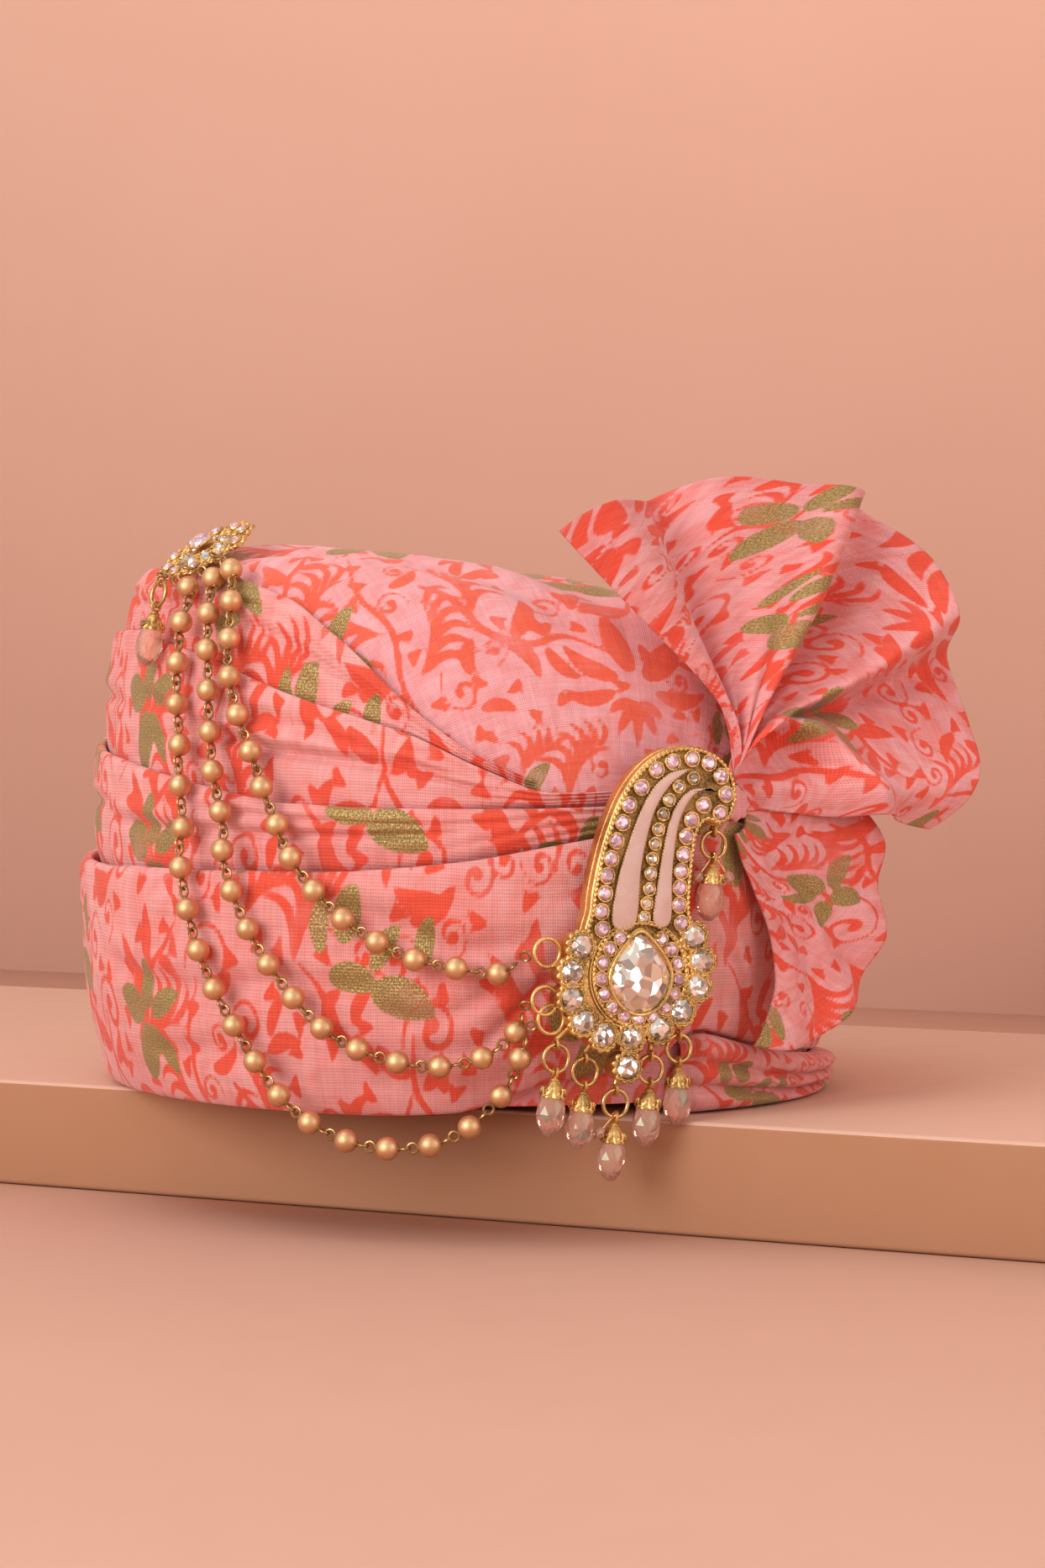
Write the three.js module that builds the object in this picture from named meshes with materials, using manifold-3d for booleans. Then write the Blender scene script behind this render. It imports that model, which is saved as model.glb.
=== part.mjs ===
// Tied turban (pagri) with a pleated fan, a jewelled kalgi, a round brooch and three bead chains.
// Millimetres, +Z up. The origin is the middle of the head opening on the rim's plane.
// The forehead faces -Y and +X is the wearer's left. A turn is an angle round the head:
// 0 is the forehead, 90 the wearer's left, and up is a share of the way from rim to top.
import * as THREE from 'three';
import { mergeVertices } from 'three/addons/utils/BufferGeometryUtils.js';
import Module from 'manifold-3d';

const wasm = await Module();
wasm.setup();

// Driving sizes of the wound body
const turbanWidth = 236;
const turbanDepth = 264;
const turbanHeight = 160;
const topFall = 0.17;
const headWidth = 160;
const headDepth = 200;
const hollowHeight = 134;
const archRise = 11;
const clearance = 0.3;

// How far each wrap stands out of the wound core
const lowerProud = 9;
const middleProud = 6.5;
const upperProud = 5;
const shoulderProud = 3.6;
const rollProud = 8.5;
const rimLift = 0.008;

// Fan and tail
const fanReach = 100;
const fanLift = 14;
const fanFacing = 8;
const fanLean = 10;
const fanWall = 2;
const fanTurn = 13;
const fanHeight = 91;
const fanStand = 4.6;
const gatherRadius = 7.7;
const tailStart = 9;
const tailReach = 78;
const tailWall = 2.4;
const knotHeight = 4;
const knotRadius = 5.6;
const knotAcross = 3;

// Kalgi
const kalgiHeight = 38;
const kalgiAcross = -2.5;
const kalgiFacing = 1.5;
const kalgiLean = 1;
const kalgiStand = 0.8;
const plateThickness = 7;
const enamelThickness = 0.8;
const pearLength = 22.4;
const pearWidth = 18.6;
const pearThickness = 4.2;
const pearAcross = -5.4;
const largeStoneRadius = 3.7;
const largeStoneThickness = 2.6;
const settingEdge = 0.8;
const rosetteWidth = 42;
const rosetteHeight = 35;
const bailRadius = 1.5;
const bailWire = 0.5;
const sideRingRadius = 4;
const sideRingWire = 0.6;

// Drops
const ringRadius = 3.9;
const ringWire = 0.6;
const eyeRadius = 1.4;
const eyeWire = 0.45;
const capHeight = 6;
const capRadius = 3.5;
const crystalLength = 10.5;
const crystalRadius = 4.2;
const dropLength = 2 * ringRadius + 2 * eyeRadius + capHeight + crystalLength * 0.6;
const dropStand = 0.4;

// Bead chains
const beadRadius = 3.5;
const beadPitch = 12.4;
const linkWire = 0.7;
const chainStand = 1.2;
const chainMargin = 0.035;
const chainFall = 24;

// Round brooch
const broochRadius = 17;
const broochThickness = 4;
const broochTurn = -78;
const broochUp = 0.765;
const broochStoneRadius = 4;
const flowerRadius = 4.3;
const flowerCount = 10;

// The wound core is what is left of the outside once the widest wrap is off
const coreHalfWidth = turbanWidth / 2 - lowerProud * 0.93;
const coreHalfDepth = turbanDepth / 2 - lowerProud * 0.93;

// The meridian of the wound core: reach and height as shares of its half width and the height
const coreProfile = [
  { up: 0.0, reach: 0.962, height: 0.0 },
  { up: 0.1, reach: 0.99, height: 0.12 },
  { up: 0.2, reach: 1.003, height: 0.25 },
  { up: 0.3, reach: 1.006, height: 0.38 },
  { up: 0.4, reach: 0.995, height: 0.51 },
  { up: 0.5, reach: 0.982, height: 0.63 },
  { up: 0.6, reach: 0.96, height: 0.745 },
  { up: 0.68, reach: 0.92, height: 0.845 },
  { up: 0.76, reach: 0.84, height: 0.925 },
  { up: 0.84, reach: 0.665, height: 0.975 },
  { up: 0.92, reach: 0.355, height: 0.995 },
  { up: 1.0, reach: 0.0, height: 1.0 },
];

// The hollow for the head, the same way
const hollowProfile = [
  { up: 0.0, reach: 1.0, height: 0.0 },
  { up: 0.3, reach: 1.0, height: 0.35 },
  { up: 0.55, reach: 0.95, height: 0.65 },
  { up: 0.75, reach: 0.82, height: 0.86 },
  { up: 0.9, reach: 0.5, height: 0.97 },
  { up: 1.0, reach: 0.0, height: 1.0 },
];

// Edges between the wraps at each turn, as shares of the way up, and how full each wrap is there
const wrapEdges = [
  { turn: -180, arch: 0, roll: 0.004, lower: 0.36, middle: 0.52, upper: 0.64, shoulder: 0.66, full: 0.8 },
  { turn: -130, arch: 0, roll: 0.004, lower: 0.34, middle: 0.51, upper: 0.65, shoulder: 0.74, full: 0.9 },
  { turn: -88, arch: 0, roll: 0.004, lower: 0.327, middle: 0.47, upper: 0.65, shoulder: 0.745, full: 1 },
  { turn: -66, arch: 0, roll: 0.004, lower: 0.334, middle: 0.447, upper: 0.62, shoulder: 0.735, full: 1 },
  { turn: -50, arch: 0, roll: 0.004, lower: 0.336, middle: 0.425, upper: 0.58, shoulder: 0.7, full: 1 },
  { turn: -38, arch: 0, roll: 0.004, lower: 0.34, middle: 0.423, upper: 0.553, shoulder: 0.635, full: 1 },
  { turn: -30, arch: 0, roll: 0.006, lower: 0.348, middle: 0.427, upper: 0.53, shoulder: 0.57, full: 1 },
  { turn: -22, arch: 0.1, roll: 0.012, lower: 0.36, middle: 0.43, upper: 0.492, shoulder: 0.51, full: 1 },
  { turn: -13, arch: 0.75, roll: 0.052, lower: 0.38, middle: 0.435, upper: 0.458, shoulder: 0.475, full: 0.75 },
  { turn: -4, arch: 1, roll: 0.069, lower: 0.4, middle: 0.443, upper: 0.465, shoulder: 0.475, full: 0.6 },
  { turn: 3, arch: 0.6, roll: 0.07, lower: 0.415, middle: 0.452, upper: 0.475, shoulder: 0.485, full: 0.65 },
  { turn: 9, arch: 0.1, roll: 0.13, lower: 0.43, middle: 0.462, upper: 0.486, shoulder: 0.496, full: 0.9 },
  { turn: 14, arch: 0, roll: 0.12, lower: 0.43, middle: 0.465, upper: 0.492, shoulder: 0.502, full: 1 },
  { turn: 20, arch: 0, roll: 0.103, lower: 0.42, middle: 0.47, upper: 0.502, shoulder: 0.512, full: 0.7 },
  { turn: 30, arch: 0, roll: 0.085, lower: 0.4, middle: 0.475, upper: 0.53, shoulder: 0.54, full: 0.55 },
  { turn: 45, arch: 0, roll: 0.068, lower: 0.38, middle: 0.48, upper: 0.57, shoulder: 0.58, full: 0.6 },
  { turn: 90, arch: 0, roll: 0.045, lower: 0.36, middle: 0.5, upper: 0.62, shoulder: 0.63, full: 0.75 },
  { turn: 180, arch: 0, roll: 0.004, lower: 0.36, middle: 0.52, upper: 0.64, shoulder: 0.66, full: 0.8 },
];

// Sections across a wrap: along its height, and out as a share of how far it stands proud
const wrapSection = [
  { along: 0, out: 0.45 },
  { along: 0.35, out: 0.72 },
  { along: 0.78, out: 0.93 },
  { along: 0.95, out: 1.0 },
  { along: 1, out: 0.7 },
  { along: 1, out: 0 },
  { along: 0.5, out: 0 },
  { along: 0, out: 0 },
];
const slimSection = [
  { along: 0, out: 0.5 },
  { along: 0.5, out: 0.85 },
  { along: 0.94, out: 1.0 },
  { along: 1, out: 0 },
  { along: 0.5, out: 0 },
  { along: 0, out: 0 },
];
const rollSection = [
  { along: 0, out: 0.5 },
  { along: 0.14, out: 0.8 },
  { along: 0.3, out: 0.6 },
  { along: 0.45, out: 0.95 },
  { along: 0.62, out: 0.7 },
  { along: 0.8, out: 1.0 },
  { along: 1, out: 0.6 },
  { along: 1, out: 0 },
  { along: 0, out: 0 },
];

// Long soft folds of the draped top: where each starts and ends, how deep and how wide
const topFolds = [
  { turn: -70, up: 0.8, endTurn: -2, endUp: 0.5, deep: 0.9, wide: 0.045 },
  { turn: -88, up: 0.86, endTurn: 6, endUp: 0.53, deep: 0.7, wide: 0.04 },
  { turn: -120, up: 0.8, endTurn: 160, endUp: 0.8, deep: 0.6, wide: 0.05 },
];
const topFoldDepth = 4;

// The fan round its knot: angle in its own plane, reach and lift as shares of its sizes
const fanFolds = [
  { angle: 125, reach: 0.9, lift: -0.25 },
  { angle: 118, reach: 0.94, lift: 0.3 },
  { angle: 110, reach: 0.92, lift: 0.45 },
  { angle: 102, reach: 0.915, lift: -0.5 },
  { angle: 95, reach: 0.94, lift: 0.35 },
  { angle: 86, reach: 0.975, lift: 0.6 },
  { angle: 77, reach: 0.99, lift: 0.1 },
  { angle: 69, reach: 1.01, lift: -0.75 },
  { angle: 62, reach: 1.06, lift: 0.85 },
  { angle: 53, reach: 1.07, lift: 0.35 },
  { angle: 44, reach: 1.09, lift: -0.2 },
  { angle: 37, reach: 1.05, lift: -0.8 },
  { angle: 29, reach: 0.98, lift: 0.75 },
  { angle: 19, reach: 0.92, lift: 0.3 },
  { angle: 8, reach: 0.9, lift: 0.0 },
  { angle: 0, reach: 0.86, lift: 0.9 },
  { angle: -8, reach: 0.7, lift: 0.3 },
];
const fanRings = [0, 0.18, 0.4, 0.65, 0.86, 1];

// The tail, the same way: stand is how far it keeps from the body towards the fan's plane
const tailFolds = [
  { angle: 2, reach: 0.6, stand: 0.85 },
  { angle: -12, reach: 0.76, stand: 1.0 },
  { angle: -24, reach: 0.82, stand: 0.62 },
  { angle: -36, reach: 0.9, stand: 1.0 },
  { angle: -46, reach: 0.95, stand: 0.5 },
  { angle: -56, reach: 0.99, stand: 0.85 },
  { angle: -66, reach: 1.0, stand: 0.4 },
  { angle: -76, reach: 0.97, stand: 0.7 },
  { angle: -88, reach: 0.9, stand: 0.25 },
];
const tailRings = [0, 0.25, 0.5, 0.75, 1];
const tailStand = 1.6;

// Outline of the kalgi's stem in its own plane, across and up from the pear stone's middle
const stemOutline = [
  [-20, 10], [-20.4, 22], [-18.6, 32], [-15.6, 42], [-11.2, 52], [-6.4, 58.8], [-0.4, 64],
  [6, 66.6], [13, 66.8], [20, 64.4], [24.8, 59.4], [26.4, 52.6], [24.4, 46.4], [20.4, 44.4],
  [16.6, 45.6], [13.6, 42], [12.4, 36], [11.4, 28], [11, 20], [11.6, 10],
];
const enamelLeft = [
  [-13.9, 16.7], [-12.4, 28.7], [-9.2, 38.4], [-5.2, 48.1], [-0.8, 55.2], [4.8, 59.6], [11, 60.4],
  [5, 56.2], [0.2, 49.6], [-2.6, 41.8], [-4.8, 32], [-6.8, 16.7],
];
const enamelRight = [
  [-1, 17], [0.6, 29.2], [2.6, 39], [4.6, 46.4], [7.6, 51.6], [12, 54.9], [17.8, 54.6],
  [13, 53.4], [9.4, 49.2], [6.8, 42.4], [5.2, 30.3], [4.4, 17],
];
// The large stones round the pear stone: angle and reach as a share of the rosette's size
const rosetteRow = [
  { angle: 35, reach: 1.06 },
  { angle: 12, reach: 1.0 },
  { angle: -13, reach: 0.94 },
  { angle: -42, reach: 0.89 },
  { angle: -70, reach: 0.93 },
  { angle: -96, reach: 1.0 },
  { angle: -119, reach: 1.08 },
  { angle: -140, reach: 1.08 },
  { angle: -162, reach: 1.04 },
  { angle: -186, reach: 0.99 },
  { angle: -211, reach: 0.99 },
];
const rosetteAcross = -6;
const rosetteUp = 2;
const footStone = { across: -9.5, up: -23.6 };

// The drops of the kalgi: the middle of each jump ring in the plate's plane, and the drop's lean
const kalgiDrops = [
  { across: -30, up: -20.6, lean: 8 },
  { across: -21, up: -24.8, lean: 8 },
  { across: -11.4, up: -34.2, lean: 6 },
  { across: -0.2, up: -25, lean: 6 },
  { across: 9, up: -19.4, lean: 3 },
  { across: 20.8, up: 38.6, lean: 6 },
];
const sideRings = [
  { across: -32.6, up: 9.3 },
  { across: -33.4, up: -4.2 },
  { across: -31.6, up: -9.6 },
];

// Routes of the three bead chains from the round brooch to the kalgi: turn and height, chosen by hand
const chainRoutes = [
  [
    [-71.2, 153], [-69.8, 141], [-68.6, 123], [-65.8, 98], [-63.6, 73], [-59.8, 47], [-53.2, 24],
    [-45.2, 4], [-38.5, -4], [-32, -6.5], [-25.5, -4.5], [-20.5, 3], [-17.2, 12],
  ],
  [
    [-66.8, 157], [-64.8, 146], [-62.4, 132], [-60.6, 111], [-57, 86], [-53.6, 63.5], [-47, 41.5],
    [-38, 23.5], [-27, 17], [-20, 20], [-16.4, 27],
  ],
  [
    [-62.4, 158], [-60.4, 149], [-59.2, 139], [-56.6, 121], [-51.2, 99], [-45.7, 77.5], [-38, 59], [-28, 47], [-18.4, 43.6],
  ],
];
const chainStarts = [-88, -55, -24];

// Turns at which every wrap has a section, closer together at the front
const stations = [
  -168, -152, -136, -120, -106, -94, -84, -75, -66, -57, -49, -41, -33, -26, -19.5, -13, -7, -1.5, 4, 9, 13, 17,
  21, 26, 32, 39, 47, 56, 67, 80, 95, 110, 125, 140, 155, 172,
];

const radians = (degrees) => (degrees * Math.PI) / 180;
const outwards = (turn) => new THREE.Vector3(Math.sin(radians(turn)), -Math.cos(radians(turn)), 0);

// A smooth value of one column of a table, read at a place along another column
function sample(table, key, column, at) {
  const last = table.length - 1;
  const rising = table[last][key] > table[0][key];
  let i = 0;
  while (i < last - 1 && (rising ? at > table[i + 1][key] : at < table[i + 1][key])) i += 1;
  const a = table[i];
  const b = table[i + 1];
  const before = table[Math.max(i - 1, 0)];
  const after = table[Math.min(i + 2, last)];
  const span = b[key] - a[key];
  const t = Math.min(Math.max((at - a[key]) / span, 0), 1);
  const slopeA = ((b[column] - before[column]) / (b[key] - before[key])) * span;
  const slopeB = ((after[column] - a[column]) / (after[key] - a[key])) * span;
  const t2 = t * t;
  const t3 = t2 * t;
  return (2 * t3 - 3 * t2 + 1) * a[column] + (t3 - 2 * t2 + t) * slopeA
    + (3 * t2 - 2 * t3) * b[column] + (t3 - t2) * slopeB;
}

function straight(table, key, column, at) {
  let i = 0;
  while (i < table.length - 2 && at > table[i + 1][key]) i += 1;
  const a = table[i];
  const b = table[i + 1];
  const t = Math.min(Math.max((at - a[key]) / (b[key] - a[key]), 0), 1);
  return a[column] + (b[column] - a[column]) * t;
}

// A point on the wound core, moved out from it square to its meridian
function corePoint(turn, up, out = 0) {
  const a = radians(turn);
  const halfReach = 1 / Math.hypot(Math.sin(a) / coreHalfWidth, Math.cos(a) / coreHalfDepth);
  const step = 0.02;
  const low = Math.max(up - step, 0);
  const high = Math.min(up + step, 1);
  const rise = (sample(coreProfile, 'up', 'height', high) - sample(coreProfile, 'up', 'height', low)) * turbanHeight;
  const inset = (sample(coreProfile, 'up', 'reach', low) - sample(coreProfile, 'up', 'reach', high)) * halfReach;
  const slope = Math.hypot(rise, inset);
  const height = sample(coreProfile, 'up', 'height', up);
  const level = halfReach * sample(coreProfile, 'up', 'reach', up) + (out * rise) / slope;
  const point = outwards(turn).multiplyScalar(level);
  point.z = turbanHeight * height - topFall * point.x * height * height + (out * inset) / slope;
  return point;
}

// How far the cloth stands out of the core at a turn and a share of the way up
function clothOut(turn, up) {
  const edge = (name) => straight(wrapEdges, 'turn', name, turn);
  const full = edge('full');
  const bands = [
    { low: edge('roll'), high: edge('lower'), proud: lowerProud },
    { low: edge('lower'), high: edge('middle'), proud: middleProud },
    { low: edge('middle'), high: edge('upper'), proud: upperProud },
    { low: edge('upper'), high: edge('shoulder'), proud: shoulderProud },
  ];
  if (up <= bands[0].low) return Math.max(lowerProud * full * 0.6, rollProud * 0.8);
  const band = bands.find(({ low, high }) => up >= low && up <= high);
  if (!band) return 0;
  return band.proud * full;
}

// A point on the outside of the cloth at a turn and a height, kept a distance off it.
// What lies there rides over the proudest fold within its margin, up and down.
function clothPoint(turn, height, stand, margin = 0) {
  let low = 0.03;
  let high = 0.9;
  for (let i = 0; i < 24; i += 1) {
    const middle = (low + high) / 2;
    if (corePoint(turn, middle, stand).z < height) low = middle;
    else high = middle;
  }
  const out = Math.max(...[-1, -0.5, 0, 0.5, 1].map((share) => clothOut(turn, low + share * margin)));
  const point = corePoint(turn, low, out + stand);
  point.z = height;
  return point;
}

function geometryOf(positions, triangles) {
  const geometry = new THREE.BufferGeometry();
  geometry.setAttribute('position', new THREE.Float32BufferAttribute(positions.flatMap((p) => [p.x, p.y, p.z]), 3));
  let volume = 0;
  for (const [a, b, c] of triangles) {
    volume += positions[a].dot(new THREE.Vector3().crossVectors(positions[b], positions[c]));
  }
  const faces = volume > 0 ? triangles : triangles.map(([a, b, c]) => [a, c, b]);
  geometry.setIndex(faces.flat());
  geometry.computeVertexNormals();
  return geometry;
}

// A solid through closed sections: joined end to end as a ring, or closed by flat ends
function loft(sections, ring) {
  const count = sections[0].length;
  const positions = sections.flat();
  const triangles = [];
  const spans = ring ? sections.length : sections.length - 1;
  for (let i = 0; i < spans; i += 1) {
    const here = i * count;
    const next = ((i + 1) % sections.length) * count;
    for (let j = 0; j < count; j += 1) {
      const k = (j + 1) % count;
      triangles.push([here + j, next + j, next + k], [here + j, next + k, here + k]);
    }
  }
  if (!ring) {
    for (const [start, flip] of [[0, true], [(sections.length - 1) * count, false]]) {
      for (let j = 1; j < count - 1; j += 1) {
        triangles.push(flip ? [start, start + j, start + j + 1] : [start, start + j + 1, start + j]);
      }
    }
  }
  return geometryOf(positions, triangles);
}

// A solid through closed rings that shrinks to a point at each end
function capped(rings, start, end) {
  const count = rings[0].length;
  const positions = [...rings.flat(), start, end];
  const startAt = positions.length - 2;
  const endAt = positions.length - 1;
  const last = (rings.length - 1) * count;
  const triangles = [];
  for (let j = 0; j < count; j += 1) {
    const k = (j + 1) % count;
    triangles.push([startAt, j, k], [endAt, last + k, last + j]);
    for (let i = 0; i < rings.length - 1; i += 1) {
      const here = i * count;
      const next = here + count;
      triangles.push([here + j, next + j, next + k], [here + j, next + k, here + k]);
    }
  }
  return geometryOf(positions, triangles);
}

// A sheet of even wall from a grid of points
function sheet(grid, wall) {
  const rows = grid.length;
  const columns = grid[0].length;
  const front = [];
  const back = [];
  for (let i = 0; i < rows; i += 1) {
    for (let j = 0; j < columns; j += 1) {
      const along = new THREE.Vector3().subVectors(grid[Math.min(i + 1, rows - 1)][j], grid[Math.max(i - 1, 0)][j]);
      const over = new THREE.Vector3().subVectors(grid[i][Math.min(j + 1, columns - 1)], grid[i][Math.max(j - 1, 0)]);
      const normal = new THREE.Vector3().crossVectors(along, over).setLength(wall / 2);
      front.push(grid[i][j].clone().add(normal));
      back.push(grid[i][j].clone().sub(normal));
    }
  }
  const half = rows * columns;
  const triangles = [];
  for (let i = 0; i < rows - 1; i += 1) {
    for (let j = 0; j < columns - 1; j += 1) {
      const a = i * columns + j;
      const b = a + 1;
      const c = a + columns;
      const d = c + 1;
      triangles.push([a, c, d], [a, d, b], [half + a, half + d, half + c], [half + a, half + b, half + d]);
    }
  }
  const border = [];
  for (let j = 0; j < columns - 1; j += 1) border.push(j);
  for (let i = 0; i < rows - 1; i += 1) border.push(i * columns + columns - 1);
  for (let j = columns - 1; j > 0; j -= 1) border.push((rows - 1) * columns + j);
  for (let i = rows - 1; i > 0; i -= 1) border.push(i * columns);
  for (let k = 0; k < border.length; k += 1) {
    const a = border[k];
    const b = border[(k + 1) % border.length];
    triangles.push([a, b, half + b], [a, half + b, half + a]);
  }
  return geometryOf([...front, ...back], triangles);
}

function solidOf(geometry) {
  const plain = geometry.clone();
  plain.deleteAttribute('normal');
  plain.deleteAttribute('uv');
  const merged = mergeVertices(plain, 1e-4);
  return new wasm.Manifold(new wasm.Mesh({
    numProp: 3,
    vertProperties: new Float32Array(merged.attributes.position.array),
    triVerts: new Uint32Array(merged.index.array),
  }));
}

function joined(...geometries) {
  let whole = solidOf(geometries[0]);
  for (const geometry of geometries.slice(1)) whole = whole.add(solidOf(geometry));
  const mesh = whole.getMesh();
  const geometry = new THREE.BufferGeometry();
  geometry.setAttribute('position', new THREE.BufferAttribute(new Float32Array(mesh.vertProperties), 3));
  geometry.setIndex(new THREE.BufferAttribute(new Uint32Array(mesh.triVerts), 1));
  geometry.computeVertexNormals();
  return geometry;
}

// Materials
const pinkCloth = new THREE.MeshStandardMaterial({ color: 0xe8788c, roughness: 0.85, metalness: 0 });
const deepCloth = new THREE.MeshStandardMaterial({ color: 0xdc6478, roughness: 0.88, metalness: 0 });
const gold = new THREE.MeshStandardMaterial({ color: 0xc8963c, roughness: 0.38, metalness: 1 });
const mattGold = new THREE.MeshStandardMaterial({ color: 0xcf9c58, roughness: 0.5, metalness: 0.8 });
const enamel = new THREE.MeshStandardMaterial({ color: 0xd9b3a9, roughness: 0.3, metalness: 0 });
const clearStone = new THREE.MeshStandardMaterial({ color: 0xf2efe8, roughness: 0.05, metalness: 0 });
const pinkStone = new THREE.MeshStandardMaterial({ color: 0xe6a6bd, roughness: 0.05, metalness: 0 });
const peachCrystal = new THREE.MeshStandardMaterial({ color: 0xeab4a0, roughness: 0.05, metalness: 0 });

const turban = new THREE.Group();

function place(parent, name, geometry, material) {
  const mesh = new THREE.Mesh(geometry, material);
  mesh.name = name;
  parent.add(mesh);
  return mesh;
}

// Wound body: the hollow core and the wraps laid round it
const coreInset = 1;
const archAt = (turn) => straight(wrapEdges, 'turn', 'arch', turn) * archRise;

function foldDepth(turn, up) {
  let depth = 0;
  for (const fold of topFolds) {
    const share = (turn - fold.turn) / (fold.endTurn - fold.turn);
    if (share < 0 || share > 1) continue;
    const away = (up - (fold.up + (fold.endUp - fold.up) * share)) / fold.wide;
    depth += fold.deep * Math.sin(Math.PI * share) * Math.exp(-away * away);
  }
  return depth * topFoldDepth;
}

function crown() {
  const outerRows = [0.04, 0.2, 0.4, 0.52, 0.62, 0.7, 0.77, 0.84, 0.92];
  const hollowRows = [0.9, 0.7, 0.4];
  const hollowPoint = (turn, up) => {
    const a = radians(turn);
    const half = 1 / Math.hypot(Math.sin(a) / (headWidth / 2), Math.cos(a) / (headDepth / 2));
    const point = outwards(turn).multiplyScalar(half * sample(hollowProfile, 'up', 'reach', up));
    const height = sample(hollowProfile, 'up', 'height', up);
    point.z = hollowHeight * height - topFall * point.x * height * height;
    return point;
  };
  const rimRing = (reach) => stations.map((turn) => {
    const point = reach(turn);
    point.z = archAt(turn);
    return point;
  });
  const outerOut = (turn, up) => {
    const covered = up < straight(wrapEdges, 'turn', 'shoulder', turn) + 0.03;
    return covered ? -coreInset : -foldDepth(turn, up);
  };
  const rings = hollowRows.map((up) => stations.map((turn) => hollowPoint(turn, up)));
  rings.push(rimRing((turn) => hollowPoint(turn, 0)));
  rings.push(rimRing((turn) => corePoint(turn, 0, -coreInset)));
  for (const up of outerRows) {
    rings.push(stations.map((turn) => {
      const point = corePoint(turn, up, outerOut(turn, up));
      point.z = Math.max(point.z, archAt(turn) + 2);
      return point;
    }));
  }
  return capped(rings, hollowPoint(0, 1), corePoint(0, 1));
}

function wrap(turns, lowEdge, highEdge, proud, section, ring) {
  const gapUp = (clearance + 0.1) / turbanHeight;
  const sections = turns.map((turn, index) => {
    const low = straight(wrapEdges, 'turn', lowEdge, turn) + (lowEdge === 'roll' ? gapUp : gapUp / 2);
    const high = straight(wrapEdges, 'turn', highEdge, turn) - gapUp / 2;
    const end = !ring && (index === 0 || index === turns.length - 1) ? 0.35 : 1;
    const full = straight(wrapEdges, 'turn', 'full', turn) * end;
    return section.map(({ along, out }) => corePoint(turn, low + (high - low) * along, proud * full * out));
  });
  return loft(sections, ring);
}

function rimRoll(turns) {
  const sections = turns.map((turn, index) => {
    const high = straight(wrapEdges, 'turn', 'roll', turn) - (clearance + 0.1) / turbanHeight;
    const end = index === 0 || index === turns.length - 1 ? 0.5 : 1;
    return rollSection.map(({ along, out }) => corePoint(turn, rimLift + (high - rimLift) * along, rollProud * end * out));
  });
  return loft(sections, false);
}

const between = (from, to) => stations.filter((turn) => turn >= from && turn <= to);
place(turban, 'crown', crown(), deepCloth);
place(turban, 'lower_wrap', wrap(stations, 'roll', 'lower', lowerProud, wrapSection, true), pinkCloth);
place(turban, 'middle_wrap', wrap(stations, 'lower', 'middle', middleProud, wrapSection, true), pinkCloth);
place(turban, 'upper_wrap', wrap(stations, 'middle', 'upper', upperProud, slimSection, true), pinkCloth);
place(turban, 'shoulder_wrap', wrap(between(-170, -13), 'upper', 'shoulder', shoulderProud, slimSection, false), pinkCloth);
place(turban, 'rim_roll', rimRoll(between(7, 120)), pinkCloth);

// Fan, its knot and its tail
function planeAt(facing, lean) {
  const out = new THREE.Vector3(
    Math.sin(radians(facing)) * Math.cos(radians(lean)),
    -Math.cos(radians(facing)) * Math.cos(radians(lean)),
    Math.sin(radians(lean)),
  );
  const across = new THREE.Vector3(Math.cos(radians(facing)), Math.sin(radians(facing)), 0);
  const up = new THREE.Vector3().crossVectors(out, across);
  return { across, up, out };
}

function inPlane(plane, origin, across, up, out) {
  return origin.clone()
    .addScaledVector(plane.across, across)
    .addScaledVector(plane.up, up)
    .addScaledVector(plane.out, out);
}

const fanPlane = planeAt(fanFacing, fanLean);
const fanHub = clothPoint(fanTurn, fanHeight, fanStand);

function fan() {
  const columns = [];
  for (let i = 0; i < fanFolds.length - 1; i += 1) {
    columns.push(fanFolds[i].angle, (fanFolds[i].angle + fanFolds[i + 1].angle) / 2);
  }
  columns.push(fanFolds[fanFolds.length - 1].angle);
  const grid = fanRings.map((ring) => columns.map((angle) => {
    const reach = sample(fanFolds, 'angle', 'reach', angle) * fanReach;
    const lift = sample(fanFolds, 'angle', 'lift', angle) * fanLift;
    const away = gatherRadius + (reach - gatherRadius) * ring;
    const open = Math.sin((Math.PI / 2) * Math.min(ring * 1.25, 1));
    return inPlane(fanPlane, fanHub, away * Math.cos(radians(angle)), away * Math.sin(radians(angle)), lift * open);
  }));
  return sheet(grid, fanWall);
}

function tail() {
  const columns = [];
  for (let i = 0; i < tailFolds.length - 1; i += 1) {
    columns.push(tailFolds[i].angle, (tailFolds[i].angle + tailFolds[i + 1].angle) / 2);
  }
  columns.push(tailFolds[tailFolds.length - 1].angle);
  const grid = tailRings.map((ring) => columns.map((angle) => {
    const reach = sample(tailFolds, 'angle', 'reach', angle) * tailReach;
    const stand = sample(tailFolds, 'angle', 'stand', angle);
    const away = tailStart + (reach - tailStart) * ring;
    const flat = inPlane(fanPlane, fanHub, away * Math.cos(radians(angle)), away * Math.sin(radians(angle)), -fanWall);
    const turn = (Math.atan2(flat.x, -flat.y) * 180) / Math.PI;
    const lying = clothPoint(turn, Math.max(flat.z, 2), tailStand + tailWall / 2);
    lying.z = flat.z;
    const open = 0.25 + 0.75 * Math.sin((Math.PI / 2) * ring);
    return lying.lerp(flat, Math.min(stand * open, 1));
  }));
  return sheet(grid, tailWall);
}

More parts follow.
